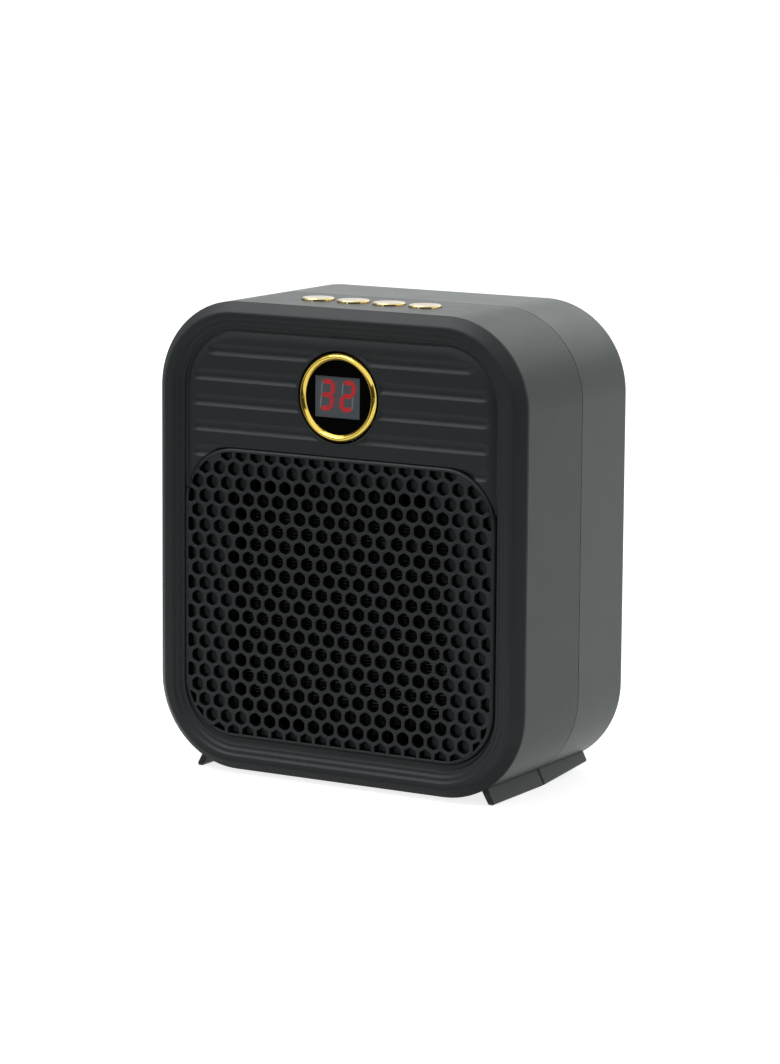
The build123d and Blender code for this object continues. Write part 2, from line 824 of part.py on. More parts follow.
def make_power_board():
    """Board on four posts of the rear wall."""
    face = Pos(0, power_board_rise) * Rectangle(power_board_width, power_board_height)
    board = slab(face, board_front, board_back)
    for x, z in corners(board_post_x, board_post_z):
        bore = disc(x, power_board_rise + z, small_screw_diameter + 2 * screw_hole_gap)
        board -= slab(bore, board_front, board_back)
    return board


def make_board_screws():
    """Four screws through the power board."""
    return [
        small_screw(x, power_board_rise + z, board_front, True)
        for x, z in corners(board_post_x, board_post_z)
    ]


def on_board(x, z, size):
    """A box of width, depth and height that stands on the power board's front."""
    width, depth, height = size
    face = Pos(x, power_board_rise + z) * Rectangle(width, height)
    return slab(face, board_front - depth, board_front)


def make_relay():
    """Relay on the left of the power board."""
    return on_board(-relay_size[0] / 2 - component_margin, 0, relay_size)


def make_transformer():
    """Small transformer beside the relay."""
    return on_board(transformer_size[0] / 2, component_margin, transformer_size)


def make_terminal_block():
    """Terminal block along the lower edge of the power board."""
    z = -power_board_height / 2 + terminal_block_size[2] / 2
    return on_board(transformer_size[0] / 2, z, terminal_block_size)


def make_capacitors():
    """Two can capacitors beside the transformer."""
    x = transformer_size[0] + component_margin + capacitor_diameter / 2
    cans = []
    for side in (-1, 1):
        z = power_board_rise + side * (capacitor_diameter + fit_gap) / 2
        cans.append(slab(disc(x, z, capacitor_diameter), board_front - capacitor_length, board_front))
    return cans


def make_tip_over_switch():
    """Tip-over switch box seated on the inside of the rear wall."""
    width, depth, height = tip_switch_size
    x = half_width - wall - tip_switch_wall_gap - width / 2
    return slab(Pos(x, air_z) * Rectangle(width, height), rear_inside - depth, rear_inside)


def make_cord_gland():
    """Bushing in the rear wall for the supply lead, empty, with its flange inside."""
    start = body_depth - gland_length
    gland = slab(disc(gland_x, gland_z, gland_barrel), start, body_depth)
    flange_start = rear_inside - gland_flange_thickness
    gland += slab(disc(gland_x, gland_z, gland_flange), flange_start, rear_inside)
    return gland - slab(disc(gland_x, gland_z, gland_bore), start, body_depth)


def make_housing_screws():
    """Four long screws from the rear wells into the panel's bosses."""
    screws = []
    for x, z in corners(boss_x, boss_z):
        head = slab(disc(x, z, screw_head_diameter), well_floor, well_floor + screw_head_height)
        shank = slab(disc(x, z, screw_diameter), boss_end - screw_bite, well_floor)
        screws.append(head + shank)
    return screws


nodes = {
    "front_housing": make_front_housing(),
    "rear_housing": make_rear_housing(),
    "front_panel": make_front_panel(),
    "grille": make_grille(),
    "display_ring": make_display_ring(),
    "display_window": make_display_window(),
    "led_display": make_led_display(),
    "display_board": make_display_board(),
    "display_screws": make_display_screws(),
    "key_board": make_key_board(),
    "tact_switches": make_tact_switches(),
    "key_board_screws": make_key_board_screws(),
    "air_duct": make_air_duct(),
    "duct_screws": make_duct_screws(),
    "heater_frame_upper": make_heater_end_frame(1),
    "heater_frame_lower": make_heater_end_frame(-1),
    "fin_packs": make_fin_packs(),
    "ptc_bars": make_ptc_bars(),
    "electrode_strips": make_electrodes(),
    "heater_terminals": make_heater_terminals(),
    "thermal_cutout": make_thermal_cutout(),
    "fan_impeller": make_fan_impeller(),
    "motor_shaft": make_motor_shaft(),
    "fan_motor": make_fan_motor(),
    "motor_bracket": make_motor_bracket(),
    "power_board": make_power_board(),
    "board_screws": make_board_screws(),
    "relay": make_relay(),
    "transformer": make_transformer(),
    "terminal_block": make_terminal_block(),
    "capacitors": make_capacitors(),
    "tip_over_switch": make_tip_over_switch(),
    "cord_gland": make_cord_gland(),
    "housing_screws": make_housing_screws(),
}
for number in range(button_count):
    nodes[f"button_{number + 1}"] = make_button(number)

os.makedirs("parts", exist_ok=True)
for name, piece in nodes.items():
    if isinstance(piece, list):
        piece = Compound(children=[solid for item in piece for solid in item.solids()])
    export_step(piece, f"parts/{name}.step")
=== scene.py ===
from math import pi, radians, sqrt, tan

import bmesh
import bpy
import numpy as np
from mathutils import Matrix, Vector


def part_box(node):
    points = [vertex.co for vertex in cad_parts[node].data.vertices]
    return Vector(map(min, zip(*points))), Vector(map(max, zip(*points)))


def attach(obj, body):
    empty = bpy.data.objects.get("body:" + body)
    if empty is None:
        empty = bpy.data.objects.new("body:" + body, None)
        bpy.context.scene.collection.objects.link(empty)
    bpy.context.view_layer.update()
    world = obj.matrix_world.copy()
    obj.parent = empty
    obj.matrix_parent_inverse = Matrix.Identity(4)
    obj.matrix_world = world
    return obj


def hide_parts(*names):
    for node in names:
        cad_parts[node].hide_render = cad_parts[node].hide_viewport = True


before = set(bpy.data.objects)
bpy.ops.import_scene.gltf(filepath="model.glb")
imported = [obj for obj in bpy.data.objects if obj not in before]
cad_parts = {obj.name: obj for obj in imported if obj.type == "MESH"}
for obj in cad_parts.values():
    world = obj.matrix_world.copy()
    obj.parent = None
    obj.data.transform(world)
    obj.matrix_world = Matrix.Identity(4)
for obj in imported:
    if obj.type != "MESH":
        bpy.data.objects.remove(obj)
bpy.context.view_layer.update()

bl_info = {
    "name": "Ceramic space heater",
    "version": (1, 0, 0),
    "blender": (4, 5, 0),
    "location": "3D View > Sidebar > Heater",
    "description": "Dresses the packed heater with its face, honeycomb, display, buttons and finishes",
    "category": "Object",
}

MM = 0.001
WHITE = (1, 1, 1, 1)

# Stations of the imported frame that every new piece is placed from
PANEL_LOW, PANEL_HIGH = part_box("front_panel")
GRILLE_LOW, GRILLE_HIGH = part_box("grille")
RING_LOW, RING_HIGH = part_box("display_ring")
LED_LOW, LED_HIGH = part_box("led_display")
FIN_LOW, FIN_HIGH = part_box("fin_packs")
BUTTONS = [f"button_{number}" for number in range(1, 5)]
STEP_COUNT = 3
GROOVE_COUNT = 5
# Rounding of the ribbed field's edge at the grille
FIELD_EDGE = 0.4 * MM

FRONT = PANEL_LOW.y
MIDDLE = (PANEL_LOW.z + PANEL_HIGH.z) / 2
HALF_WIDTH = PANEL_HIGH.x
HALF_HEIGHT = (PANEL_HIGH.z - PANEL_LOW.z) / 2
DISPLAY_Z = (RING_LOW.z + RING_HIGH.z) / 2 - MIDDLE
RING_RADIUS = (RING_HIGH.x - RING_LOW.x) / 2


def linear(code):
    """sRGB hex code to linear red, green, blue and alpha."""
    channels = [int(code[start:start + 2], 16) / 255 for start in (1, 3, 5)]
    return (*[c / 12.92 if c <= 0.04045 else ((c + 0.055) / 1.055) ** 2.4 for c in channels], 1.0)


def length(name, description, millimetres):
    """A length property, given in millimetres and kept in metres."""
    return bpy.props.FloatProperty(
        name=name, description=description, default=millimetres * MM, unit="LENGTH", precision=5
    )


def colour(name, description, code):
    """A colour property, given as an sRGB hex code and kept linear."""
    return bpy.props.FloatVectorProperty(
        name=name, description=description, default=linear(code), size=4, subtype="COLOR", min=0, max=1
    )


def power(name, description, watts):
    """The power of a lamp."""
    return bpy.props.FloatProperty(name=name, description=description, default=watts, unit="POWER")


class HeaterFaceSettings(bpy.types.PropertyGroup):
    """Sizes of the front moulding."""

    corner_radius: length("Corner radius", "Radius of the casing's corners seen from the front", 36.0)
    chamfer: length("Chamfer", "Width of the bevel round the front", 4.0)
    edge: length("Edge", "Straight edge between the bevel and the casing", 0.6)
    rim_side: length("Rim at the sides", "From the casing's side to the first step", 7.8)
    rim_end: length("Rim at the ends", "From the casing's top or bottom to the first step", 6.2)
    step_tread: length("Step tread", "Width of each step", 2.15)
    step_rise: length("Step rise", "Depth of each step", 1.1)
    step_draft: length("Step draft", "How far the wall of a step leans inward", 0.8)
    ledge_draft: length("Ledge draft", "The same at the sides of the last step, beside the grille", 0.2)
    skin: length("Skin", "Thickness of the moulding behind its floor", 1.6)
    field_gap: length("Field gap", "Channel between the last step and the ribbed field", 1.2)
    roll_width: length("Roll width", "Width over which the ribbed field falls away at its edge", 4.0)
    groove_pitch: length("Groove pitch", "Distance from groove to groove", 10.3)
    groove_chord: length("Groove width", "Width of each scooped groove", 4.6)
    groove_depth: length("Groove depth", "Depth of each scooped groove", 1.1)
    groove_margin: length("Groove margin", "From the end of a groove to the field's edge", 3.2)
    groove_skew: length("Groove skew", "How far the deepest line of a groove lies below its middle", 0.5)
    land: length("Land", "Flat left round the display between the grooves", 0.8)
    bevel_softness: length("Bevel softness", "Rounding of the edges of the front bevel", 0.9)
    lip_softness: length("Lip softness", "Rounding of the outer edges of the steps", 0.9)
    root_softness: length("Root softness", "Rounding of the inner corners of the steps", 0.7)


class HeaterGrilleSettings(bpy.types.PropertyGroup):
    """Sizes of the honeycomb."""

    corner_radius: length("Corner radius", "Radius of the grille's corners", 23.0)
    gap: length("Gap", "Slit between the grille and the face", 0.15)
    border: length("Border", "Plain border round the cells", 1.5)
    edge_bevel: length("Edge bevel", "Bevel round the grille's front", 0.8)
    lip: length("Lip", "Retaining lip above and below the grille, behind the face", 1.6)
    cell_pitch: length("Cell pitch", "Distance from cell to cell", 6.87)
    cell_opening: length("Cell opening", "Width of a cell across its flats", 5.3)
    corner_cut: length("Corner cut", "How far the corners of a cell are cut back", 0.55)
    web_softness: length("Web softness", "Rounding of the webs between the cells", 0.28)
    blind_skin: length("Blind skin", "Thickness of the floor of the blind cells", 0.3)
    air_window: length("Air window", "Height and width of the air duct's mouth", 100.0)
    air_window_radius: length("Air window radius", "Radius of the mouth's corners", 15.0)
    air_drop: length("Air drop", "Depth of the mouth's middle below the grille's", 3.0)


class HeaterDisplaySettings(bpy.types.PropertyGroup):
    """Sizes of the display."""

    ring_band: length("Ring band", "Width of the trim ring", 2.9)
    ring_gap: length("Ring gap", "Slit round the trim ring", 0.7)
    digit_height: length("Digit height", "Height of a digit", 12.5)
    digit_width: length("Digit width", "Width of a digit", 6.9)
    digit_lift: length("Digit lift", "Height of the digits above the module's middle", 0.75)
    digit_shift: length("Digit shift", "Shift of the digits to the right", -0.1)
    digit_pitch: length("Digit pitch", "Distance from digit to digit", 9.5)
    segment_width: length("Segment width", "Width of a lit segment", 1.9)
    # Unlit segments are drawn as narrow pale slits: a painted glint along the edges of segments that are the
    # face's own grey
    unlit_width: length("Unlit width", "Width of the slit of an unlit segment", 0.7)
    segment_gap: length("Segment gap", "Slit between two segments", 0.06)
    digit_slant: bpy.props.FloatProperty(
        name="Digit slant", description="Lean of the digits", default=radians(5), subtype="ANGLE"
    )


class HeaterButtonSettings(bpy.types.PropertyGroup):
    """Sizes of the push buttons."""

    edge_radius: length("Edge radius", "Rounding of a button's edge", 0.5)
    top_drop: length("Top drop", "Depth of a cap's top under that of its solid", 0.4)
    dish_depth: length("Dish depth", "Depth of the hollow in a button's top", 0.15)
    rim: length("Rim", "Width of the rim round the hollow", 1.3)
    stem_diameter: length("Stem diameter", "Diameter of the stem under a button", 4.0)
    cap_skirt: length("Cap skirt", "Depth of a cap's lower edge under the top of its solid", 4.1)


class HeaterCoreSettings(bpy.types.PropertyGroup):
    """Sizes of the heating core's fins."""

    pack_count: bpy.props.IntProperty(name="Fin packs", description="Folded strips side by side", default=7)
    bar_width: length("Bar width", "Width of a heating bar with its two contact strips", 4.6)
    fin_pitch: length("Fin pitch", "Distance from fin to fin", 1.3)
    fin_thickness: length("Fin thickness", "Thickness of the fin strip", 0.18)
    turn_inset: length("Turn inset", "How far the turns of a strip lie behind its front edges", 2.5)


class HeaterFinishSettings(bpy.types.PropertyGroup):
    """Colours of the visible finishes."""

    casing: colour("Casing", "Moulded casing", "#242d2c")
    # A shade paler than the casing: painted light, for the extra light that the rear half's slightly drafted
    # sides catch
    rear: colour("Rear half", "Moulded rear half of the casing", "#293634")
    face: colour("Face", "Moulded face and honeycomb", "#1c2224")
    gold: colour("Gold", "Plated trim ring", "#ffdc68")
    pale_gold: colour("Pale gold", "Plated buttons", "#ead9a0")
    window: colour("Window", "Smoked window round the digits", "#050506")
    display: colour("Display", "Face of the digit module", "#4b5156")
    lit: colour("Lit segments", "Segments that are on", "#a51d22")
    # Paler than the display's face: painted glint for the edges of the unlit segments
    unlit: colour("Unlit segments", "Segments that are off", "#6f7577")
    # Paler than the face: painted light, as if light reached the floors of the blind cells as it does the
    # webs
    blind: colour("Blind cells", "Floors of the blind cells", "#3a3f42")
    # Near black: painted shade for the walls deep inside the cells
    wall: colour("Cell walls", "Walls of the cells", "#0d0e0f")
    duct: colour("Duct", "Air duct behind the honeycomb", "#0c0c0d")
    fin: colour("Fins", "Aluminium fins", "#83878a")


class HeaterStageSettings(bpy.types.PropertyGroup):
    """Light and floor."""

    top_power: power("Top softbox", "Power of the softbox overhead", 9.0)
    back_power: power("Back softbox", "Power of the softbox high behind", 4.0)
    left_power: power("Left softbox", "Power of the softbox behind on the left", 1.5)
    front_power: power("Front softbox", "Power of the softbox in front on the left", 0.8)
    world_level: bpy.props.FloatProperty(
        name="Room light", description="Strength of the even light from all sides", default=0.43
    )
    floor: colour("Floor", "Pale floor", "#d9d9d9")


class HeaterSettings(bpy.types.PropertyGroup):
    """All settings of the heater."""

    face: bpy.props.PointerProperty(type=HeaterFaceSettings)
    grille: bpy.props.PointerProperty(type=HeaterGrilleSettings)
    display: bpy.props.PointerProperty(type=HeaterDisplaySettings)
    buttons: bpy.props.PointerProperty(type=HeaterButtonSettings)
    core: bpy.props.PointerProperty(type=HeaterCoreSettings)
    finish: bpy.props.PointerProperty(type=HeaterFinishSettings)
    stage: bpy.props.PointerProperty(type=HeaterStageSettings)


# Meshes from arrays

def place(x, depth, height):
    """Points from x across, depth behind the front plane and height above the casing's middle."""
    x, depth, height = np.broadcast_arrays(x, depth, height)
    return np.stack([x, FRONT + depth, MIDDLE + height], axis=-1)


def grid_faces(rows, columns, close_rows=False, close_columns=False):
    """Corner numbers of the quads of a grid, row by row, with either way closed on itself."""
    row = np.arange(rows if close_rows else rows - 1)[:, None]
    column = np.arange(columns if close_columns else columns - 1)[None, :]
    below, above = row * columns, (row + 1) % rows * columns
    here, beside = column, (column + 1) % columns
    return np.stack([below + here, below + beside, above + beside, above + here], axis=-1).reshape(-1, 4)


def joined(blocks):
    """One list of points and one of faces from several blocks of points and faces."""
    starts = np.cumsum([0] + [len(points) for points, _ in blocks[:-1]])
    points = np.concatenate([points for points, _ in blocks])
    faces = np.concatenate([faces + start for (_, faces), start in zip(blocks, starts)])
    return points, faces


def stacked(layers):
    """Points and faces of the bands between rings, from an array of stacks, levels, points round and axes."""
    count, levels, around, _ = layers.shape
    starts = np.arange(count)[:, None, None] * levels * around
    faces = grid_faces(levels, around, False, True)[None] + starts
    return layers.reshape(-1, 3), faces.reshape(-1, 4)


def gathered(rings):
    """Rings of numbers, each drawn together to its mean."""
    return np.broadcast_to(rings.mean(axis=1, keepdims=True), rings.shape)


def new_piece(name, points, faces, slot, body="casing", finish=None, sharp=40.0, recalculate=True):
    """New object on a body, in its slot's finish or one of its own.

    Doubled points are merged, which closes seams and poles, and edges above the sharp angle stay sharp."""
    merge_distance, sliver_length = 0.002 * MM, 0.0005 * MM
    mesh = bpy.data.meshes.new(name)
    mesh.from_pydata(points.reshape(-1, 3), [], faces)
    shape = bmesh.new()
    shape.from_mesh(mesh)
    bmesh.ops.remove_doubles(shape, verts=shape.verts, dist=merge_distance)
    bmesh.ops.dissolve_degenerate(shape, edges=shape.edges, dist=sliver_length)
    if recalculate:
        bmesh.ops.recalc_face_normals(shape, faces=shape.faces)
    shape.to_mesh(mesh)
    shape.free()
    mesh.shade_smooth()
    mesh.set_sharp_from_angle(angle=radians(sharp))
    mesh.materials.append(finish_of(finish or slot))
    piece = bpy.data.objects.new(name, mesh)
    bpy.context.scene.collection.objects.link(piece)
    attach(piece, body)
    return piece


def soften(rows, cuts, steps=5):
    """Round the corners of a closed profile: at each, a quadratic curve leaves its two sides at the cut.

    The first and last columns of a row are its place across and its depth, and measure the sides."""
    most = 0.45

    def toward(other):
        """Where the curves start on the way to the next corners, at most almost half way."""
        way = other - rows
        side = np.maximum(np.hypot(way[:, 0], way[:, -1]), 1e-9)
        return rows + way * np.minimum(cuts / side, most)[:, None]

    start = toward(np.roll(rows, 1, axis=0))[:, None]
    end = toward(np.roll(rows, -1, axis=0))[:, None]
    t = np.linspace(0, 1, steps)[None, :, None]
    curve = (1 - t) ** 2 * start + 2 * t * (1 - t) * rows[:, None] + t**2 * end
    return curve.reshape(-1, rows.shape[1])


def outline_ring(rows, split, steps=28):
    """Carry each row of a profile round a rounded rectangle.

    A row holds half width, top and corner radius of the upper part, the same of the lower part, and depth.
    Corner points are the corner's centre plus radius times cosine and sine. The sides change over at the
    split, within a short crossing."""
    wide, top, round_top, wide_low, bottom, round_low, depth = [rows[:, [c]] for c in range(7)]
    turn = np.linspace(0, pi / 2, steps)[None, :]
    flat = np.zeros_like(wide)
    crossing = 0.05 * MM
    right_x = np.hstack([
        wide_low - round_low + round_low * np.sin(turn),
        wide_low,
        wide,
        wide - round_top + round_top * np.cos(turn),
    ])
    right_z = np.hstack([
        bottom + round_low - round_low * np.cos(turn),
        flat + split - crossing,
        flat + split + crossing,
        top - round_top + round_top * np.sin(turn),
    ])
    x = np.hstack([right_x, -right_x[:, ::-1]])
    z = np.hstack([right_z, right_z[:, ::-1]])
    return place(x, depth, z)


def turned(radius, station, steps):
    """A profile of radii and stations along an axis, turned round it: across, along and up as arrays."""
    turn = np.arange(steps) * 2 * pi / steps
    across = radius[:, None] * np.cos(turn)[None, :]
    up = radius[:, None] * np.sin(turn)[None, :]
    along = np.broadcast_to(station[:, None], across.shape)
    return across, along, up


# Materials

def add(tree, kind, inputs=None, **settings):
    """Add one node, set its properties, and set or link its inputs."""
    node = tree.nodes.new(kind)
    for key, value in settings.items():
        setattr(node, key, value)
    for key, value in (inputs or {}).items():
        if isinstance(value, bpy.types.NodeSocket):
            tree.links.new(value, node.inputs[key])
        else:
            node.inputs[key].default_value = value
    return node


def new_material(name):
    """Empty node material: the material and its tree."""
    material = bpy.data.materials.new(name)
    material.use_nodes = True
    material.node_tree.nodes.clear()
    return material, material.node_tree


def shade(base, factor):
    """A colour made lighter or darker by a factor."""
    return (*[min(1.0, channel * factor) for channel in base[:3]], 1.0)


def own_space(tree):
    """Socket of the place in the object's own space."""
    return add(tree, "ShaderNodeTexCoord").outputs["Object"]


def noise(tree, width, detail, roughness=0.5):
    """Socket of a noise whose spots are about as wide as given in millimetres."""
    inputs = {"Vector": own_space(tree), "Scale": 1 / (width * MM), "Detail": detail, "Roughness": roughness}
    return add(tree, "ShaderNodeTexNoise", inputs).outputs[0]


def tinted(tree, amount, base, low, high):
    """Socket of a colour that a noise takes from one factor of its base to another."""
    inputs = {0: amount, 6: shade(base, low), 7: shade(base, high)}
    return add(tree, "ShaderNodeMix", inputs, data_type="RGBA").outputs[2]


def spread(tree, amount, low, high):
    """Socket of a number that the middle part of a noise takes from low to high."""
    return add(tree, "ShaderNodeMapRange", {0: amount, 1: 0.3, 2: 0.7, 3: low, 4: high}).outputs[0]


def bumped(tree, height, strength, relief):
    """Socket of a normal that follows a height with a relief in millimetres."""
    inputs = {"Height": height, "Strength": strength, "Distance": relief * MM}
    return add(tree, "ShaderNodeBump", inputs).outputs[0]


def end_with(tree, kind, inputs):
    """End a material's tree with one shader."""
    add(tree, "ShaderNodeOutputMaterial", {0: add(tree, kind, inputs).outputs[0]})


def moulded_plastic(name, base, roughness, specular, grain, relief, mottle=0.12):
    """Moulded plastic: the mould's eroded grain as bump, and slow drifts of shade and gloss from the flow."""
    material, tree = new_material(name)
    flow_width, lift, gloss_drift = 14, 0.12, 0.015
    fine = noise(tree, grain, 3.0, 0.6)
    flow = noise(tree, flow_width, 2.0)
    drift = add(tree, "ShaderNodeMath", {0: fine, 1: flow, 2: lift}, operation="MULTIPLY_ADD").outputs[0]
    end_with(tree, "ShaderNodeBsdfPrincipled", {
        "Base Color": tinted(tree, drift, base, 1 - mottle, 1 + mottle),
        "Roughness": spread(tree, flow, roughness - gloss_drift, roughness + gloss_drift),
        "Specular IOR Level": specular,
        "Normal": bumped(tree, fine, 0.5, relief),
    })
    return material


def bare_metal(name, base, roughness, grain, relief, edge="#ffffff"):
    """Plated or bare metal: faint waviness, a finer scatter of gloss, and a tint at grazing angles."""
    material, tree = new_material(name)
    fine = noise(tree, grain, 3.0)
    end_with(tree, "ShaderNodeBsdfPrincipled", {
        "Base Color": tinted(tree, fine, base, 0.92, 1.06),
        "Metallic": 1.0,
        "Specular Tint": linear(edge),
        "Roughness": spread(tree, fine, roughness * 0.8, roughness * 1.25),
        "Normal": bumped(tree, fine, 0.3, relief),
    })
    return material


def glowing_segment(name, base, glow):
    """Diffusing epoxy over a lamp die: a soft light behind a milky, slightly cloudy skin."""
    material, tree = new_material(name)
    milky_width = 1.2
    tint = tinted(tree, noise(tree, milky_width, 2.0), base, 0.8, 1.15)
    end_with(tree, "ShaderNodeBsdfPrincipled", {
        "Base Color": tint,
        "Roughness": 0.45,
        "Specular IOR Level": 0.3,
        "Emission Color": tint,
        "Emission Strength": glow,
    })
    return material


def circuit_board(name):
    """Glass-fibre board under green lacquer: a faint weave and copper tracks that show as paler bands."""
    material, tree = new_material(name)
    track_length, weave_width, weave_relief = 9 * MM, 0.8 * MM, 0.02
    tracks = add(tree, "ShaderNodeTexBrick", {
        "Vector": own_space(tree), "Scale": 1 / track_length, "Mortar Size": 0.06,
        "Color1": linear("#12452c"), "Color2": linear("#154d31"), "Mortar": linear("#2c7a4e"),
    })
    weave = add(tree, "ShaderNodeTexChecker", {"Vector": own_space(tree), "Scale": 1 / weave_width})
    end_with(tree, "ShaderNodeBsdfPrincipled", {
        "Base Color": tracks.outputs[0],
        "Roughness": 0.35,
        "Normal": bumped(tree, weave.outputs[1], 0.2, weave_relief),
    })
    return material


def finishes(colours):
    """One material for each of the record's slots, and those that only new pieces wear."""
    # Name, colour, roughness, specular level, width and relief of the grain in millimetres, mottle
    plastics = {
        # Spark-eroded ABS: matt charcoal, its grain drawn at about twice its real size so that it shows.
        "casing_plastic": ("Eroded ABS casing", colours.casing, 0.46, 0.42, 0.8, 0.14),
        # The rear half, from its own mould: the same resin, a little smoother, and painted a shade paler for
        # the extra light its slightly drafted sides catch.
        "rear_plastic_painted_paler": ("Eroded ABS rear half", colours.rear, 0.42, 0.46, 0.8, 0.1),
        # The same resin from a smoother mould: a shade darker and quieter.
        "face_plastic": ("Moulded ABS face", colours.face, 0.5, 0.34, 0.8, 0.04),
        # The skin that closes the outer cells: the same resin, painted paler so that its floors look lit,
        # though the cells keep them in shade.
        "blind_floor_painted_light": ("Scuffed ABS skin", colours.blind, 0.55, 0.3, 0.8, 0.04),
        # Walls of the cells, left by polished core pins: smooth, so they mirror the dark inside, and painted
        # near black for the shade within the cells.
        "cell_wall_painted_shade": ("Polished ABS cell wall", colours.wall, 0.35, 0.2, 0.8, 0.02),
        # Smoked acrylic: black and glossy, with the faint ripple of a moulded pane.
        "dark_window": ("Smoked acrylic", colours.window, 0.08, 0.18, 6, 0.004),
        # Painted face of a digit module: flat grey with a fine tooth.
        "led_face": ("Painted display face", colours.display, 0.6, 0.25, 0.6, 0.01),
        # Nylon of small switches: black, waxy.
        "switch_plastic": ("Nylon switch", linear("#1b1b1c"), 0.42, 0.5, 1, 0.01),
        # Glass-filled nylon duct: dull and a little blotched by its fibres.
        "duct_plastic": ("Glass-filled nylon duct", colours.duct, 0.58, 0.3, 1.2, 0.03, 0.2),
        # Fired ceramic: dark and chalky with a sandy tooth.
        "heater_ceramic": ("Fired ceramic", linear("#0b0a0a"), 0.8, 0.3, 0.7, 0.03, 0.15),
        # Phenolic cut-out body: dark brown and dull.
        "cutout_plastic": ("Phenolic resin", linear("#3a2a20"), 0.5, 0.4, 1, 0.02),
        # Polyester tape round the winding: yellow and slightly shiny.
        "coil_tape": ("Polyester tape", linear("#c9a227"), 0.3, 0.5, 4, 0.02),
        # Terminal block: mid green, semi-matt.
        "terminal_plastic": ("Green polyamide", linear("#2c6b3f"), 0.45, 0.45, 1, 0.01),
        # Capacitors: blue-black and shiny, stretched smooth.
        "capacitor_sleeve": ("Shrink sleeve", linear("#1d2230"), 0.3, 0.5, 5, 0.01),
        # Soft rubber of the gland: black, dry, slightly dusty.
        "gland_rubber": ("Moulded rubber", linear("#171717"), 0.7, 0.35, 0.8, 0.02, 0.2),
    }
    # Name, colour, roughness, width and relief of the waviness in millimetres, tint at grazing angles
    metals = {
        # Bright electroplate on moulded trim: mirror-like, warm, almost no texture.
        "gold_plate": ("Gold electroplate", colours.gold, 0.13, 3, 0.01),
        # The buttons' plate: a thinner flash, paler for the nickel below and dimmer at grazing angles.
        "pale_gold": ("Gold flash on nickel", colours.pale_gold, 0.14, 3, 0.01, "#d0d0d6"),
        # Zinc-plated screws: pale grey, slightly clouded.
        "screw_steel": ("Zinc-plated steel", linear("#9a9da0"), 0.32, 1, 0.01),
        # Rolled aluminium strip: bright, with a fine drawn grain.
        "fin_aluminium": ("Rolled aluminium", colours.fin, 0.34, 0.8, 0.01),
        # Contact strips: brass that heat has darkened, with a dull shine.
        "contact_metal": ("Tinned brass", linear("#34332f"), 0.3, 1, 0.01),
        # Motor can and bracket: grey, softly shining, slightly wavy from drawing.
        "motor_steel": ("Drawn steel", linear("#8b8e91"), 0.38, 1.5, 0.01),
    }
    return {
        **{slot: moulded_plastic(*row) for slot, row in plastics.items()},
        **{slot: bare_metal(*row) for slot, row in metals.items()},
        # Segments of the digits: a dull red glow, and where they are off, narrow pale slits that paint the
        # glint along their edges.
        "lit": glowing_segment("Lit epoxy", colours.lit, 0.3),
        "unlit": glowing_segment("Unlit epoxy", colours.unlit, 0.0),
        # Boards: glossy green with paler tracks.
        "circuit_board": circuit_board("Lacquered glass-fibre board"),
    }


# Operators, one for each piece or group of like pieces

class HEATER_OT_nodes(bpy.types.Operator):
    """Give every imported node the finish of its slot"""

    bl_idname = "heater.nodes"
    bl_label = "Finish the packed nodes"

    def execute(self, context):
        made = finishes(context.scene.heater.finish)
        for name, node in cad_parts.items():
            slot = node.data.materials[0].name.split(".")[0]
            if slot not in made:
                raise RuntimeError(f"no finish for slot {slot}")
            # The rear half wears a paler copy of the casing's plastic: painted light for its slightly drafted
            # sides.
            node.data.materials[0] = made["rear_plastic_painted_paler" if name == "rear_housing" else slot]
        for slot, material in made.items():
            material["heater_slot"] = slot
        return {"FINISHED"}


def finish_of(slot):
    """The material made for a slot."""
    for material in bpy.data.materials:
        if material.get("heater_slot") == slot:
            return material
    raise RuntimeError(f"no finish for slot {slot}")


def grille_sizes(grille):
    """Half width, top and bottom of the grille's outline, as heights above the casing's middle."""
    return GRILLE_HIGH.x, GRILLE_HIGH.z - grille.lip - MIDDLE, GRILLE_LOW.z + grille.lip - MIDDLE


def opening_corner(grille):
    """Centre, across and up, and radius of the upper corner of the face's opening for the grille."""
    wide, top, _ = grille_sizes(grille)
    return wide - grille.corner_radius, top - grille.corner_radius, grille.corner_radius + grille.gap


def field_outline(face):
    """Half width, top and corner radius of the ribbed field."""
    across = face.rim_side + 2 * face.step_tread + face.field_gap
    along = face.rim_end + 2 * face.step_tread + face.field_gap
    return HALF_WIDTH - across, HALF_HEIGHT - along, face.corner_radius - (across + along) / 2


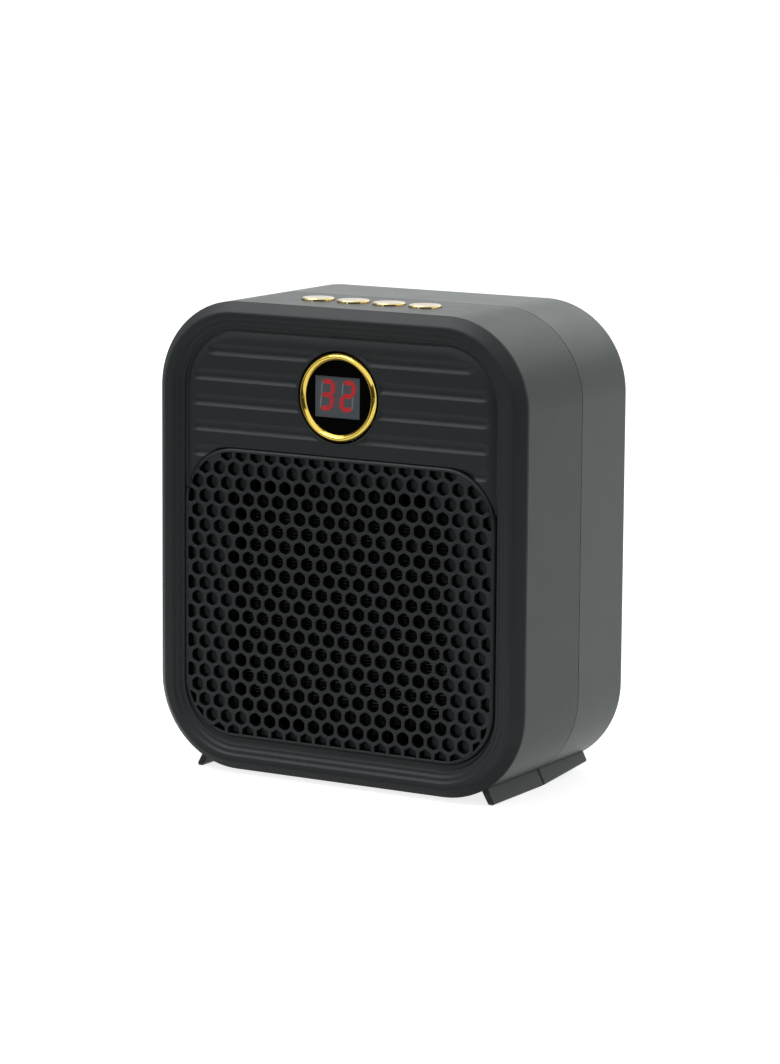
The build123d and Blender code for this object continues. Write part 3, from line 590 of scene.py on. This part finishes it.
class HEATER_OT_face_rim(bpy.types.Operator):
    """Bevelled rim of the face with its three steps, a closed profile carried round the outline"""

    bl_idname = "heater.face_rim"
    bl_label = "Face rim"

    def execute(self, context):
        face = context.scene.heater.face
        grille = context.scene.heater.grille
        wide, _, bottom = grille_sizes(grille)
        field_wide, field_top, field_round = field_outline(face)
        under, slight = 0.3 * MM, 0.2 * MM
        floor = STEP_COUNT * face.step_rise
        back = floor + face.skin
        edge = face.chamfer + face.edge
        skirt, skirt_out, skirt_in = 3.5 * MM, 2.7 * MM, 4.3 * MM

        def at(side, end, depth):
            """A row of the profile, drawn in from the casing's sides and ends."""
            half = [HALF_WIDTH - side, HALF_HEIGHT - end, face.corner_radius - (side + end) / 2]
            return half + [half[0], -half[1], half[2], depth]

        inner = [field_wide - under, field_top - under, field_round - under,
                 wide + grille.gap, bottom - grille.gap, grille.corner_radius + grille.gap]
        rows = [at(0, 0, edge), at(0, 0, face.chamfer), at(face.chamfer, face.chamfer, 0)]
        for step in range(STEP_COUNT):
            side = face.rim_side + step * face.step_tread
            end = face.rim_end + step * face.step_tread
            rows.append(at(side, end, step * face.step_rise))
            lean = face.step_draft if step < STEP_COUNT - 1 else face.ledge_draft
            rows.append(at(side + lean, end + face.step_draft, (step + 1) * face.step_rise))
        behind = [at(skirt_in, skirt_in, back), at(skirt_in, skirt_in, back + skirt),
                  at(skirt_out, skirt_out, back + skirt), at(skirt_out, skirt_out, edge)]
        rows += [inner + [floor], inner + [back], *behind]
        cuts = [slight, face.bevel_softness, face.bevel_softness]
        cuts += [face.lip_softness, face.root_softness] * STEP_COUNT + [slight, 0] + [0] * len(behind)
        points = outline_ring(soften(np.array(rows), np.array(cuts)), horn_foot(face, grille))
        faces = grid_faces(*points.shape[:2], True, True)
        piece = new_piece("face_rim", points, faces, "face_plastic")
        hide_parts("front_panel")
        return {"FINISHED"}


def horn_foot(face, grille):
    """Height at which the grille's opening meets the side of the ribbed field."""
    corner_x, corner_z, reach = opening_corner(grille)
    across = field_outline(face)[0] - corner_x
    return corner_z + sqrt(max(reach**2 - across**2, 0))


def field_depth(face, grille, x, z, hole):
    """Depth of the ribbed field: flat, rolled off on an arc at its edge, scooped by ball-ended grooves."""
    wide, top, rounding = field_outline(face)
    front = 2 * face.step_rise
    over_x = np.abs(x) - (wide - rounding)
    over_z = z - (top - rounding)
    outside = np.hypot(np.maximum(over_x, 0), np.maximum(over_z, 0))
    inside = rounding - outside - np.minimum(np.maximum(over_x, over_z), 0)
    roll_radius = (face.roll_width**2 + face.step_rise**2) / (2 * face.step_rise)
    run = np.clip(face.roll_width - inside, 0, face.roll_width)
    depth = front + roll_radius - np.sqrt(roll_radius**2 - run**2)
    groove_radius = ((face.groove_chord / 2) ** 2 + face.groove_depth**2) / (2 * face.groove_depth)
    fade_width, lip_softness = 0.8 * MM, 0.06 * MM
    fade = np.clip((np.hypot(x, z - DISPLAY_Z) - hole - face.land) / fade_width, 0, 1)
    for number in range(GROOVE_COUNT):
        # The display's middle lies half way between the second groove and the third.
        centre = DISPLAY_Z + (1.5 - number) * face.groove_pitch
        half = wide - face.groove_margin
        rise = max(centre - (top - rounding), 0)
        reach = rounding - face.groove_margin
        half += sqrt(reach**2 - rise**2) - reach
        beyond = np.maximum(np.abs(x) - (half - face.groove_chord / 2), 0)
        drop = np.clip((z - centre) / (face.groove_chord / 2), -1, 1)
        away = np.hypot(beyond, z - centre + face.groove_skew * (1 - drop**2))
        scoop = np.sqrt(np.maximum(groove_radius**2 - away**2, 0)) - (groove_radius - face.groove_depth)
        depth = depth + fade * (scoop + np.sqrt(scoop**2 + lip_softness**2)) / 2
    corner_x, corner_z, reach = opening_corner(grille)
    opening = np.hypot(np.maximum(np.abs(x) - corner_x, 0), z - corner_z) - reach
    near = np.clip(FIELD_EDGE - opening, 0, FIELD_EDGE)
    return depth + FIELD_EDGE - np.sqrt(FIELD_EDGE**2 - near**2)


class HEATER_OT_ribbed_field(bpy.types.Operator):
    """Ribbed field above the grille, a grid whose depth is the roll at its edge plus five scooped grooves"""

    bl_idname = "heater.ribbed_field"
    bl_label = "Ribbed field"

    def execute(self, context):
        face = context.scene.heater.face
        grille = context.scene.heater.grille
        wide, top, rounding = field_outline(face)
        corner, corner_z, reach = opening_corner(grille)
        low = corner_z + reach
        hole = RING_RADIUS + context.scene.heater.display.ring_gap

        # Columns: dense round the display, then to the grille's corner, then over the horns beside it.
        horn = corner + (wide - corner) * np.sin(np.linspace(0, pi / 2, 18))
        dense = 20 * MM
        right = np.concatenate([np.linspace(0, dense, 50)[:-1], np.linspace(dense, corner, 36)[:-1], horn])
        share = np.concatenate([-right[:0:-1], right]) / wide
        edge_rows = low + np.array([0, 0.1, 0.3, 0.6, 1]) * FIELD_EDGE
        rows = np.concatenate([edge_rows, np.linspace(edge_rows[-1], top, 160)[1:]])
        over = np.maximum(rows - (top - rounding), 0)
        half = wide - rounding + np.sqrt(np.maximum(rounding**2 - over**2, 0))
        x = share[None, :] * half[:, None]
        z = np.broadcast_to(rows[:, None], x.shape)
        blocks = [(np.stack([x, z], axis=-1).reshape(-1, 2), grid_faces(*x.shape))]

        # Horns: rows from the foot up to the main field, from the grille's corner arc out to the side.
        foot = horn_foot(face, grille)
        levels = np.linspace(foot, low, 60)
        inner = corner + np.sqrt(np.maximum(reach**2 - (levels - corner_z) ** 2, 0))
        along = (horn - corner) / (wide - corner)
        horn_x = inner[:, None] + np.maximum(wide - inner, 0)[:, None] * along[None, :]
        horn_z = np.broadcast_to(levels[:, None], horn_x.shape)
        right_horn = np.stack([horn_x, horn_z], axis=-1)
        for part in (right_horn, right_horn[:, ::-1] * (-1, 1)):
            blocks.append((part.reshape(-1, 2), grid_faces(*horn_x.shape)))
        flat, faces = joined(blocks)

        # Round hole for the display: its rim points are drawn onto the circle.
        from_middle = flat - (0, DISPLAY_Z)
        away = np.hypot(*from_middle.T)
        kept = np.hypot(*from_middle[faces].mean(axis=1).T) > hole
        rim = np.intersect1d(faces[kept], faces[~kept])
        flat[rim] = from_middle[rim] * (hole / away[rim])[:, None] + (0, DISPLAY_Z)
        depth = field_depth(face, grille, *flat.T, hole)
        points = place(flat[:, 0], depth, flat[:, 1])
        used, numbers = np.unique(faces[kept], return_inverse=True)
        piece = new_piece("ribbed_field", points[used], numbers.reshape(-1, 4), "face_plastic",
                          sharp=60.0, recalculate=False)
        wall = piece.modifiers.new("Wall", "SOLIDIFY")
        wall.thickness = 0.9 * face.skin
        wall.offset = -1
        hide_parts("front_panel")
        return {"FINISHED"}


def held_inside(points, half_width, half_height, radius):
    """Points outside a rounded rectangle, brought to its nearest edge: core point plus at most one radius."""
    half = np.array([half_width - radius, half_height - radius])
    core = np.clip(points, -half, half)
    out = points - core
    far = np.maximum(np.hypot(out[..., 0], out[..., 1]), 1e-12)
    return core + out * np.minimum(1, radius / far)[..., None]


def hexagon(across, corner_cut, per_side):
    """Points round a hexagon with a tip at the top: its corners cut back, and each side divided evenly."""
    tips = radians(30) + np.arange(6) * pi / 3
    corner = np.stack([np.cos(tips), np.sin(tips)], axis=-1) * across / sqrt(3)
    following = np.roll(corner, -1, axis=0)
    cut = corner_cut / (across / sqrt(3))
    t = cut + (1 - 2 * cut) * np.linspace(0, 1, per_side)
    return (corner[:, None] * (1 - t)[None, :, None] + following[:, None] * t[None, :, None]).reshape(-1, 2)


class HEATER_OT_honeycomb(bpy.types.Operator):
    """Honeycomb grille: for each cell a ring of web, a rounded lip, a wall and the web behind it"""

    bl_idname = "heater.honeycomb"
    bl_label = "Honeycomb grille"

    def execute(self, context):
        grille = context.scene.heater.grille
        wide, top, bottom = grille_sizes(grille)
        half = (top - bottom) / 2
        middle = (top + bottom) / 2
        front = GRILLE_LOW.y - FRONT
        back = GRILLE_HIGH.y - FRONT
        pitch, row_pitch = grille.cell_pitch, grille.cell_pitch * sqrt(3) / 2
        reach = 14
        rows = np.arange(-reach, reach)[:, None]
        columns = np.arange(-reach, reach + 1)[None, :]
        centres = np.stack(np.broadcast_arrays(
            (columns + rows % 2 / 2) * pitch, (rows + 0.5) * row_pitch), axis=-1).reshape(-1, 2)

        def held(points, inset):
            """Points held inside the grille's outline, drawn in by an inset."""
            return held_inside(points, wide - inset, half - inset, grille.corner_radius - inset)

        def area(rings):
            """Area of each ring of points."""
            x, z = rings[..., 0], rings[..., 1]
            return np.abs(np.sum(x * np.roll(z, -1, axis=1) - z * np.roll(x, -1, axis=1), axis=1)) / 2

        # Cells at the edge of which less than the least share is open are left solid. Roundings have one
        # ring between their ends, after the ease of their way.
        soft, ease = grille.web_softness, 0.3
        least_share, least_tile = 0.18, 0.01
        cell_area = grille.cell_opening**2 * sqrt(3) / 2
        shape = centres[:, None] + hexagon(grille.cell_opening, 0, 6)[None]
        clipped = held(shape, grille.border)
        whole = np.abs(clipped - shape).max(axis=(1, 2)) < 1e-9
        tile = held(centres[:, None] + hexagon(pitch, 0, 6)[None], 0)
        inside = area(tile) > least_tile * cell_area
        open_share = area(clipped) / cell_area
        mouth = centres + (0, grille.air_drop)
        blind = np.any(mouth != held_inside(mouth, grille.air_window / 2, grille.air_window / 2,
                                            grille.air_window_radius), axis=1)
        blocks = []

        def keep(rings):
            """Add the bands between rings of points, each given with its depth."""
            layers = [place(ring[..., 0], depth, ring[..., 1] + middle) for ring, depth in rings]
            blocks.append(stacked(np.stack(layers, axis=1)))

        def cells(chosen, corner_cut, per_side, floor=None):
            """The chosen cells: over the lip and down the wall, either to a floor or through to the back."""
            spot = centres[chosen][:, None]
            outer = spot + hexagon(pitch, 0, per_side)[None]
            lip = spot + hexagon(grille.cell_opening + 2 * soft, corner_cut + soft / 2, per_side)[None]
            throat = spot + hexagon(grille.cell_opening, corner_cut, per_side)[None]
            mean = ease * lip + (1 - ease) * throat
            web, behind, wall = held(outer, grille.edge_bevel), held(outer, 0), held(throat, grille.border)
            point = gathered(wall)
            rounded = [(web, front), (held(lip, grille.border - soft), front),
                       (held(mean, grille.border - ease * soft), front + ease * soft), (wall, front + soft)]
            if floor is None:
                keep(rounded + [(wall, back), (behind, back)])
            elif floor == front:
                keep([(web, front), (point, front)])
                keep([(point, back), (behind, back)])
            else:
                keep(rounded + [(wall, floor), (point, floor)])
                keep([(point, back), (behind, back)])

        kept = inside & (open_share >= least_share)
        floor = back - grille.blind_skin
        cells(kept & whole & ~blind, grille.corner_cut, 2)
        cells(kept & whole & blind, grille.corner_cut, 2, floor)
        cells(kept & ~whole, 0, 5, floor)
        cells(inside & ~kept, 0, 5, front)
        bevel = grille.edge_bevel
        inset = np.array([bevel, ease * bevel, 0, 0])
        depth = np.array([front, front + ease * bevel, front + bevel, back])
        band = np.stack([wide - inset, half - inset, grille.corner_radius - inset,
                         wide - inset, inset - half, grille.corner_radius - inset, depth], axis=-1)
        rim = outline_ring(band, 0.0) + (0, 0, middle)
        blocks.append((rim[::-1].reshape(-1, 3), grid_faces(*rim.shape[:2], False, True)))
        points, faces = joined(blocks)
        piece = new_piece("honeycomb", points, faces, "face_plastic", sharp=50.0, recalculate=False)
        # Floors of the blind cells get a paler copy of the resin, painted light, and walls of all cells a
        # near-black one, painted shade.
        for slot in ("blind_floor_painted_light", "cell_wall_painted_shade"):
            piece.data.materials.append(finish_of(slot))
        spots = np.empty((len(piece.data.polygons), 3), np.float32)
        normals = np.empty_like(spots)
        piece.data.polygons.foreach_get("center", spots.ravel())
        piece.data.polygons.foreach_get("normal", normals.ravel())
        deep = spots[:, 1] - FRONT - front > soft
        # The floors that get painted light, and below, the walls that get painted shade
        skin = np.abs(spots[:, 1] - FRONT - floor) < 0.01 * MM
        flat = spots[:, ::2] - (0, MIDDLE + middle)
        within = np.all(np.abs(held(flat, grille.border / 2) - flat) < 1e-7, axis=1)
        wall = deep & within & (np.abs(normals[:, 1]) < 0.5)
        piece.data.polygons.foreach_set("material_index", np.where(wall, 2, skin).astype(np.int32))
        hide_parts("grille")
        return {"FINISHED"}


class HEATER_OT_trim_ring(bpy.types.Operator):
    """Gold trim ring: a ridged band, a hyperbola in section, turned about the display's axis"""

    bl_idname = "heater.trim_ring"
    bl_label = "Trim ring"

    def execute(self, context):
        band = context.scene.heater.display.ring_band
        outer = RING_RADIUS
        front, back = RING_LOW.y - FRONT, RING_HIGH.y - FRONT
        crown = 1.4 * MM
        side = np.linspace(1, -1, 25)
        arch = crown * (np.sqrt(side**2 + 1) - 1) / (sqrt(2) - 1)
        radius = np.concatenate([[outer], outer - band / 2 + band / 2 * side, [outer - band]])
        station = np.concatenate([[back], front + arch, [back]])
        across, along, up = turned(radius, station, 128)
        points = place(across, along, up + DISPLAY_Z)
        faces = grid_faces(*across.shape, True, True)
        piece = new_piece("trim_ring", points, faces, "gold_plate")
        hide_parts("display_ring")
        return {"FINISHED"}


class HEATER_OT_digits(bpy.types.Operator):
    """Two seven-segment digits: bars with pointed ends, lit or unlit, that stand on the module's face"""

    bl_idname = "heater.digits"
    bl_label = "Digits"

    def execute(self, context):
        display = context.scene.heater.display
        tall = (display.digit_height - display.segment_width) / 4
        broad = (display.digit_width - display.segment_width) / 2
        # Segments from the top clockwise, then the middle bar: centre across and up, half length, upright.
        bars = np.array([
            [0, 2 * tall, broad, 0], [broad, tall, tall, 1], [broad, -tall, tall, 1],
            [0, -2 * tall, broad, 0], [-broad, -tall, tall, 1], [-broad, tall, tall, 1],
            [0, 0, broad, 0],
        ])
        three, two = [1, 1, 1, 1, 0, 0, 1], [1, 1, 0, 1, 1, 0, 1]
        on = np.array([three, two], bool)
        half = np.where(on, display.segment_width, display.unlit_width)[..., None] / 2
        reach = (bars[:, 2] - display.segment_gap)[None, :, None]
        long = np.concatenate([-reach + 0 * half, half - reach, reach - half, reach + 0 * half,
                               reach - half, half - reach], axis=-1)
        wide = np.array([0, -1, -1, 0, 1, 1]) * half
        upright = bars[:, 3:] > 0
        x = bars[:, :1] + np.where(upright, -wide, long)
        z = bars[:, 1:2] + np.where(upright, long, wide)
        x = x + z * tan(display.digit_slant) + np.array([-0.5, 0.5])[:, None, None] * display.digit_pitch
        x = x + (LED_LOW.x + LED_HIGH.x) / 2 + display.digit_shift
        z = z + (LED_LOW.z + LED_HIGH.z) / 2 - MIDDLE + display.digit_lift
        face = LED_LOW.y - FRONT
        foot, shoulder, crown = face + 0.02 * MM, face - 0.06 * MM, face - 0.07 * MM
        for name, chosen, finish in (("digits_lit", on, "lit"), ("digits_unlit", ~on, "unlit")):
            x_on, z_on = x[chosen], z[chosen]
            layers = [place(x_on, foot, z_on), place(x_on, shoulder, z_on),
                      place(gathered(x_on), crown, gathered(z_on))]
            points, faces = stacked(np.stack(layers, axis=1))
            new_piece(name, points, faces, "led_face", finish=finish, recalculate=False)
        return {"FINISHED"}


class HEATER_OT_button_caps(bpy.types.Operator):
    """Four gold caps: a dished top with a rounded edge, a skirt and a stem, turned about a button's axis"""

    bl_idname = "heater.button_caps"
    bl_label = "Button caps"

    def execute(self, context):
        buttons = context.scene.heater.buttons
        arc = np.linspace(0, pi / 2, 7)
        for name in BUTTONS:
            low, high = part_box(name)
            across_middle = (low.x + high.x) / 2
            along_middle = (low.y + high.y) / 2
            outer = (high.x - low.x) / 2
            edge = buttons.edge_radius
            top = high.z - buttons.top_drop
            dish = np.linspace(0, outer - buttons.rim, 12)
            hollow = top - buttons.dish_depth * np.cos(dish / dish[-1] * pi / 2) ** 2
            skirt = high.z - buttons.cap_skirt
            stem = buttons.stem_diameter / 2
            radius = np.concatenate([dish, outer - edge + edge * np.sin(arc), [outer, stem, stem, 0]])
            station = np.concatenate([hollow, top - edge + edge * np.cos(arc), [skirt, skirt, low.z, low.z]])
            across, up, along = turned(radius, station, 64)
            points = np.stack([across_middle + across, along_middle + along, up], axis=-1)
            faces = grid_faces(*across.shape, False, True)
            piece = new_piece(f"{name}_cap", points, faces, "gold_plate", name, "pale_gold")
            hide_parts(name)
        return {"FINISHED"}


class HEATER_OT_folded_fins(bpy.types.Operator):
    """Folded fin strips: flat fins one above the other, joined by turns at alternate ends"""

    bl_idname = "heater.folded_fins"
    bl_label = "Folded fins"

    def execute(self, context):
        core = context.scene.heater.core
        pack = (FIN_HIGH.x - FIN_LOW.x - (core.pack_count - 1) * core.bar_width) / core.pack_count
        folds = int((FIN_HIGH.z - FIN_LOW.z) / core.fin_pitch)
        thick = core.fin_thickness / 2
        front, back = FIN_LOW.y, FIN_HIGH.y
        # A fin is a flat slab from side to side, and a turn at its end is a slab as high as the pitch.
        fin = np.arange(folds + 1)
        level = (FIN_LOW.z + FIN_HIGH.z) / 2 + (fin - folds / 2) * core.fin_pitch
        left = np.full(folds + 1, -pack / 2)
        turn_side = np.where(fin[:-1] % 2 == 0, pack / 2 - 2 * thick, -pack / 2)
        low_x = np.concatenate([left, turn_side])
        high_x = np.concatenate([-left, turn_side + 2 * thick])
        low_z = np.concatenate([level - thick, level[:-1] + thick])
        high_z = np.concatenate([level + thick, level[1:] - thick])
        spots = FIN_LOW.x + pack / 2 + np.arange(core.pack_count) * (pack + core.bar_width)
        corner_x = np.stack([low_x, high_x, high_x, low_x], axis=-1)
        corner_z = np.stack([low_z, low_z, high_z, high_z], axis=-1)
        x = (spots[:, None, None] + corner_x[None]).reshape(-1, 4)
        z = np.broadcast_to(corner_z[None], (core.pack_count, *corner_z.shape)).reshape(-1, 4)
        turned_in = np.where(np.arange(len(low_x)) > folds, core.turn_inset, 0)
        near = np.broadcast_to(front + np.tile(turned_in, core.pack_count)[:, None], x.shape)
        ends = np.stack([np.stack([x, y, z], axis=-1) for y in (near, np.full_like(x, back))], axis=1)
        box = np.array([[0, 1, 2, 3], [5, 4, 7, 6], [4, 5, 1, 0], [1, 5, 6, 2], [6, 7, 3, 2], [4, 0, 3, 7]])
        faces = (np.arange(len(x))[:, None, None] * 8 + box[None]).reshape(-1, 4)
        piece = new_piece("folded_fins", ends.reshape(-1, 3), faces, "fin_aluminium", recalculate=False)
        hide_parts("fin_packs")
        return {"FINISHED"}


class HEATER_OT_stage(bpy.types.Operator):
    """Pale floor, soft light and the photograph's camera"""

    bl_idname = "heater.stage"
    bl_label = "Stage"

    def execute(self, context):
        stage = context.scene.heater.stage
        scene = context.scene
        scene.view_settings.view_transform = "Standard"

        # Pale paper that glows to the eye, so that it shows white and keeps the shadow.
        paper, tree = new_material("Pale paper sweep")
        matt = add(tree, "ShaderNodeBsdfDiffuse", {"Color": stage.floor})
        brightness = {0: self.seen_directly(tree), 1: 0.8}
        level = add(tree, "ShaderNodeMath", brightness, operation="MULTIPLY")
        glow = add(tree, "ShaderNodeEmission", {"Color": WHITE, "Strength": level.outputs[0]})
        end_with(tree, "ShaderNodeAddShader", {0: matt.outputs[0], 1: glow.outputs[0]})
        side = 3.0
        floor = self.sheet("floor", (-side, -side, 0), (2 * side, 0, 0), (0, 2 * side, 0), paper, scene)

        world = bpy.data.worlds.new("Studio")
        world.use_nodes = True
        scene.world = world
        tree = world.node_tree
        tree.nodes.clear()
        levels = {0: self.seen_directly(tree), 1: 1 - stage.world_level, 2: stage.world_level}
        strength = add(tree, "ShaderNodeMath", levels, operation="MULTIPLY_ADD")
        sky = add(tree, "ShaderNodeBackground", {"Color": WHITE, "Strength": strength.outputs[0]})
        add(tree, "ShaderNodeOutputWorld", {0: sky.outputs[0]})

        # Softboxes: power, side and place
        for box in (
            ("top_softbox", stage.top_power, 0.9, (-0.45, -0.32, 1.22)),
            ("back_softbox", stage.back_power, 1.1, (0.2, 1.5, 1.05)),
            ("left_softbox", stage.left_power, 1.1, (-0.75, 1.4, 0.6)),
            ("front_softbox", stage.front_power, 0.4, (-0.35, -1.2, 0.42)),
        ):
            self.softbox(*box, scene)
        # Cards that reflections see: a corner, the two sides from it, and the card
        black, grey = self.card("Black card", 0.04), self.card("Grey card", 0.45)
        white = self.card("White card", 0.9)
        for flag in (
            ("front_flag", (-2.4, -2.4, 0), (4.8, 0, 0), (0, 0, 1.1), black),
            ("left_flag", (-1.6, -2.4, 0), (0, 3.8, 0), (0, 0, 1.2), grey),
            ("left_card", (-1.59, -1.9, 0.3), (0, 1.3, 0), (0, 0, 0.9), white),
            ("right_flag", (2.0, -2.4, 0), (0, 1.9, 0), (0, 0, 1.1), black),
            ("floor_flag", (-1.6, -2.4, 0.001), (3.2, 0, 0), (0, 2.05, 0), black),
            ("near_floor_flag", (-0.3, -0.35, 0.001), (1.9, 0, 0), (0, 0.29, 0), white),
            # The grey strip along the feet paints, for reflections only, the shadow that the heater casts on
            # the floor just in front of it.
            ("foot_flag", (-0.3, -0.06, 0.001), (1.9, 0, 0), (0, 0.03, 0), grey),
            ("left_floor_flag", (-1.6, -0.35, 0.001), (1.3, 0, 0), (0, 1.35, 0), grey),
        ):
            self.flag(*flag, scene)

        # The camera's axes and place, as columns, fitted to the photograph
        camera = bpy.data.objects.new("photo_camera", bpy.data.cameras.new("photo_camera"))
        scene.collection.objects.link(camera)
        camera.data.sensor_fit = "VERTICAL"
        camera.data.sensor_height = 36.0
        camera.data.lens = 138.348
        camera.matrix_world = Matrix((
            (0.862112, -0.088032, 0.499010, 0.822985),
            (0.506666, 0.135588, -0.851411, -1.404729),
            (0.007292, 0.986843, 0.161495, 0.363814),
            (0, 0, 0, 1),
        ))
        scene.camera = camera
        return {"FINISHED"}

    def seen_directly(self, tree):
        """Socket that is 1 for camera, glossy and transmission rays, and 0 for the rest."""
        path = add(tree, "ShaderNodeLightPath").outputs
        seen = path["Is Camera Ray"]
        for ray in ("Is Glossy Ray", "Is Transmission Ray"):
            seen = add(tree, "ShaderNodeMath", {0: seen, 1: path[ray]}, operation="MAXIMUM").outputs[0]
        return seen

    def card(self, name, level):
        """Card that reflections see at one even level."""
        material, tree = new_material(name)
        end_with(tree, "ShaderNodeEmission", {"Color": WHITE, "Strength": level})
        return material

    def sheet(self, name, corner, along, up, material, scene):
        """Flat sheet, from a corner and the two sides from it."""
        corner, along, up = np.array(corner), np.array(along), np.array(up)
        mesh = bpy.data.meshes.new(name)
        mesh.from_pydata([corner, corner + along, corner + along + up, corner + up], [], [(0, 1, 2, 3)])
        mesh.materials.append(material)
        holder = bpy.data.objects.new(name, mesh)
        scene.collection.objects.link(holder)
        return holder

    def flag(self, name, corner, along, up, card, scene):
        """Sheet of card outside the picture that only reflections see."""
        holder = self.sheet(name, corner, along, up, card, scene)
        holder.visible_camera = False
        holder.visible_diffuse = False
        holder.visible_shadow = False

    def softbox(self, name, watts, size, spot, scene):
        """Square lamp at a spot, turned to the middle of the heater."""
        lamp = bpy.data.lights.new(name, "AREA")
        lamp.energy = watts
        lamp.size = size
        holder = bpy.data.objects.new(name, lamp)
        scene.collection.objects.link(holder)
        back = np.array(spot) - (0, 0, MIDDLE)
        back = back / np.linalg.norm(back)
        across = np.cross((0, 1, 0), back)
        across = across / np.linalg.norm(across)
        turn = np.identity(4)
        turn[:3, :3] = np.stack([across, np.cross(back, across), back], axis=-1)
        turn[:3, 3] = spot
        holder.matrix_world = Matrix(turn.tolist())


STEPS = (
    HEATER_OT_nodes,
    HEATER_OT_face_rim,
    HEATER_OT_ribbed_field,
    HEATER_OT_honeycomb,
    HEATER_OT_trim_ring,
    HEATER_OT_digits,
    HEATER_OT_button_caps,
    HEATER_OT_folded_fins,
    HEATER_OT_stage,
)


class HEATER_PT_sidebar(bpy.types.Panel):
    """Lists the heater's settings and steps"""

    bl_idname = "HEATER_PT_sidebar"
    bl_label = "Ceramic space heater"
    bl_space_type = "VIEW_3D"
    bl_region_type = "UI"
    bl_category = "Heater"

    def draw(self, context):
        settings = context.scene.heater
        for group in settings.bl_rna.properties.keys():
            if group in ("rna_type", "name"):
                continue
            box = self.layout.box()
            box.label(text=group.capitalize())
            part = getattr(settings, group)
            for key in part.bl_rna.properties.keys():
                if key not in ("rna_type", "name"):
                    box.prop(part, key)
        for step in STEPS:
            self.layout.operator(step.bl_idname)


CLASSES = (
    HeaterFaceSettings,
    HeaterGrilleSettings,
    HeaterDisplaySettings,
    HeaterButtonSettings,
    HeaterCoreSettings,
    HeaterFinishSettings,
    HeaterStageSettings,
    HeaterSettings,
    *STEPS,
    HEATER_PT_sidebar,
)


def register():
    for item in CLASSES:
        bpy.utils.register_class(item)
    bpy.types.Scene.heater = bpy.props.PointerProperty(type=HeaterSettings)


def unregister():
    del bpy.types.Scene.heater
    for item in reversed(CLASSES):
        bpy.utils.unregister_class(item)


def main():
    """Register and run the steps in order."""
    register()
    bpy.ops.heater.nodes()
    bpy.ops.heater.face_rim()
    bpy.ops.heater.ribbed_field()
    bpy.ops.heater.honeycomb()
    bpy.ops.heater.trim_ring()
    bpy.ops.heater.digits()
    bpy.ops.heater.button_caps()
    bpy.ops.heater.folded_fins()
    bpy.ops.heater.stage()


if __name__ == "__main__":
    main()
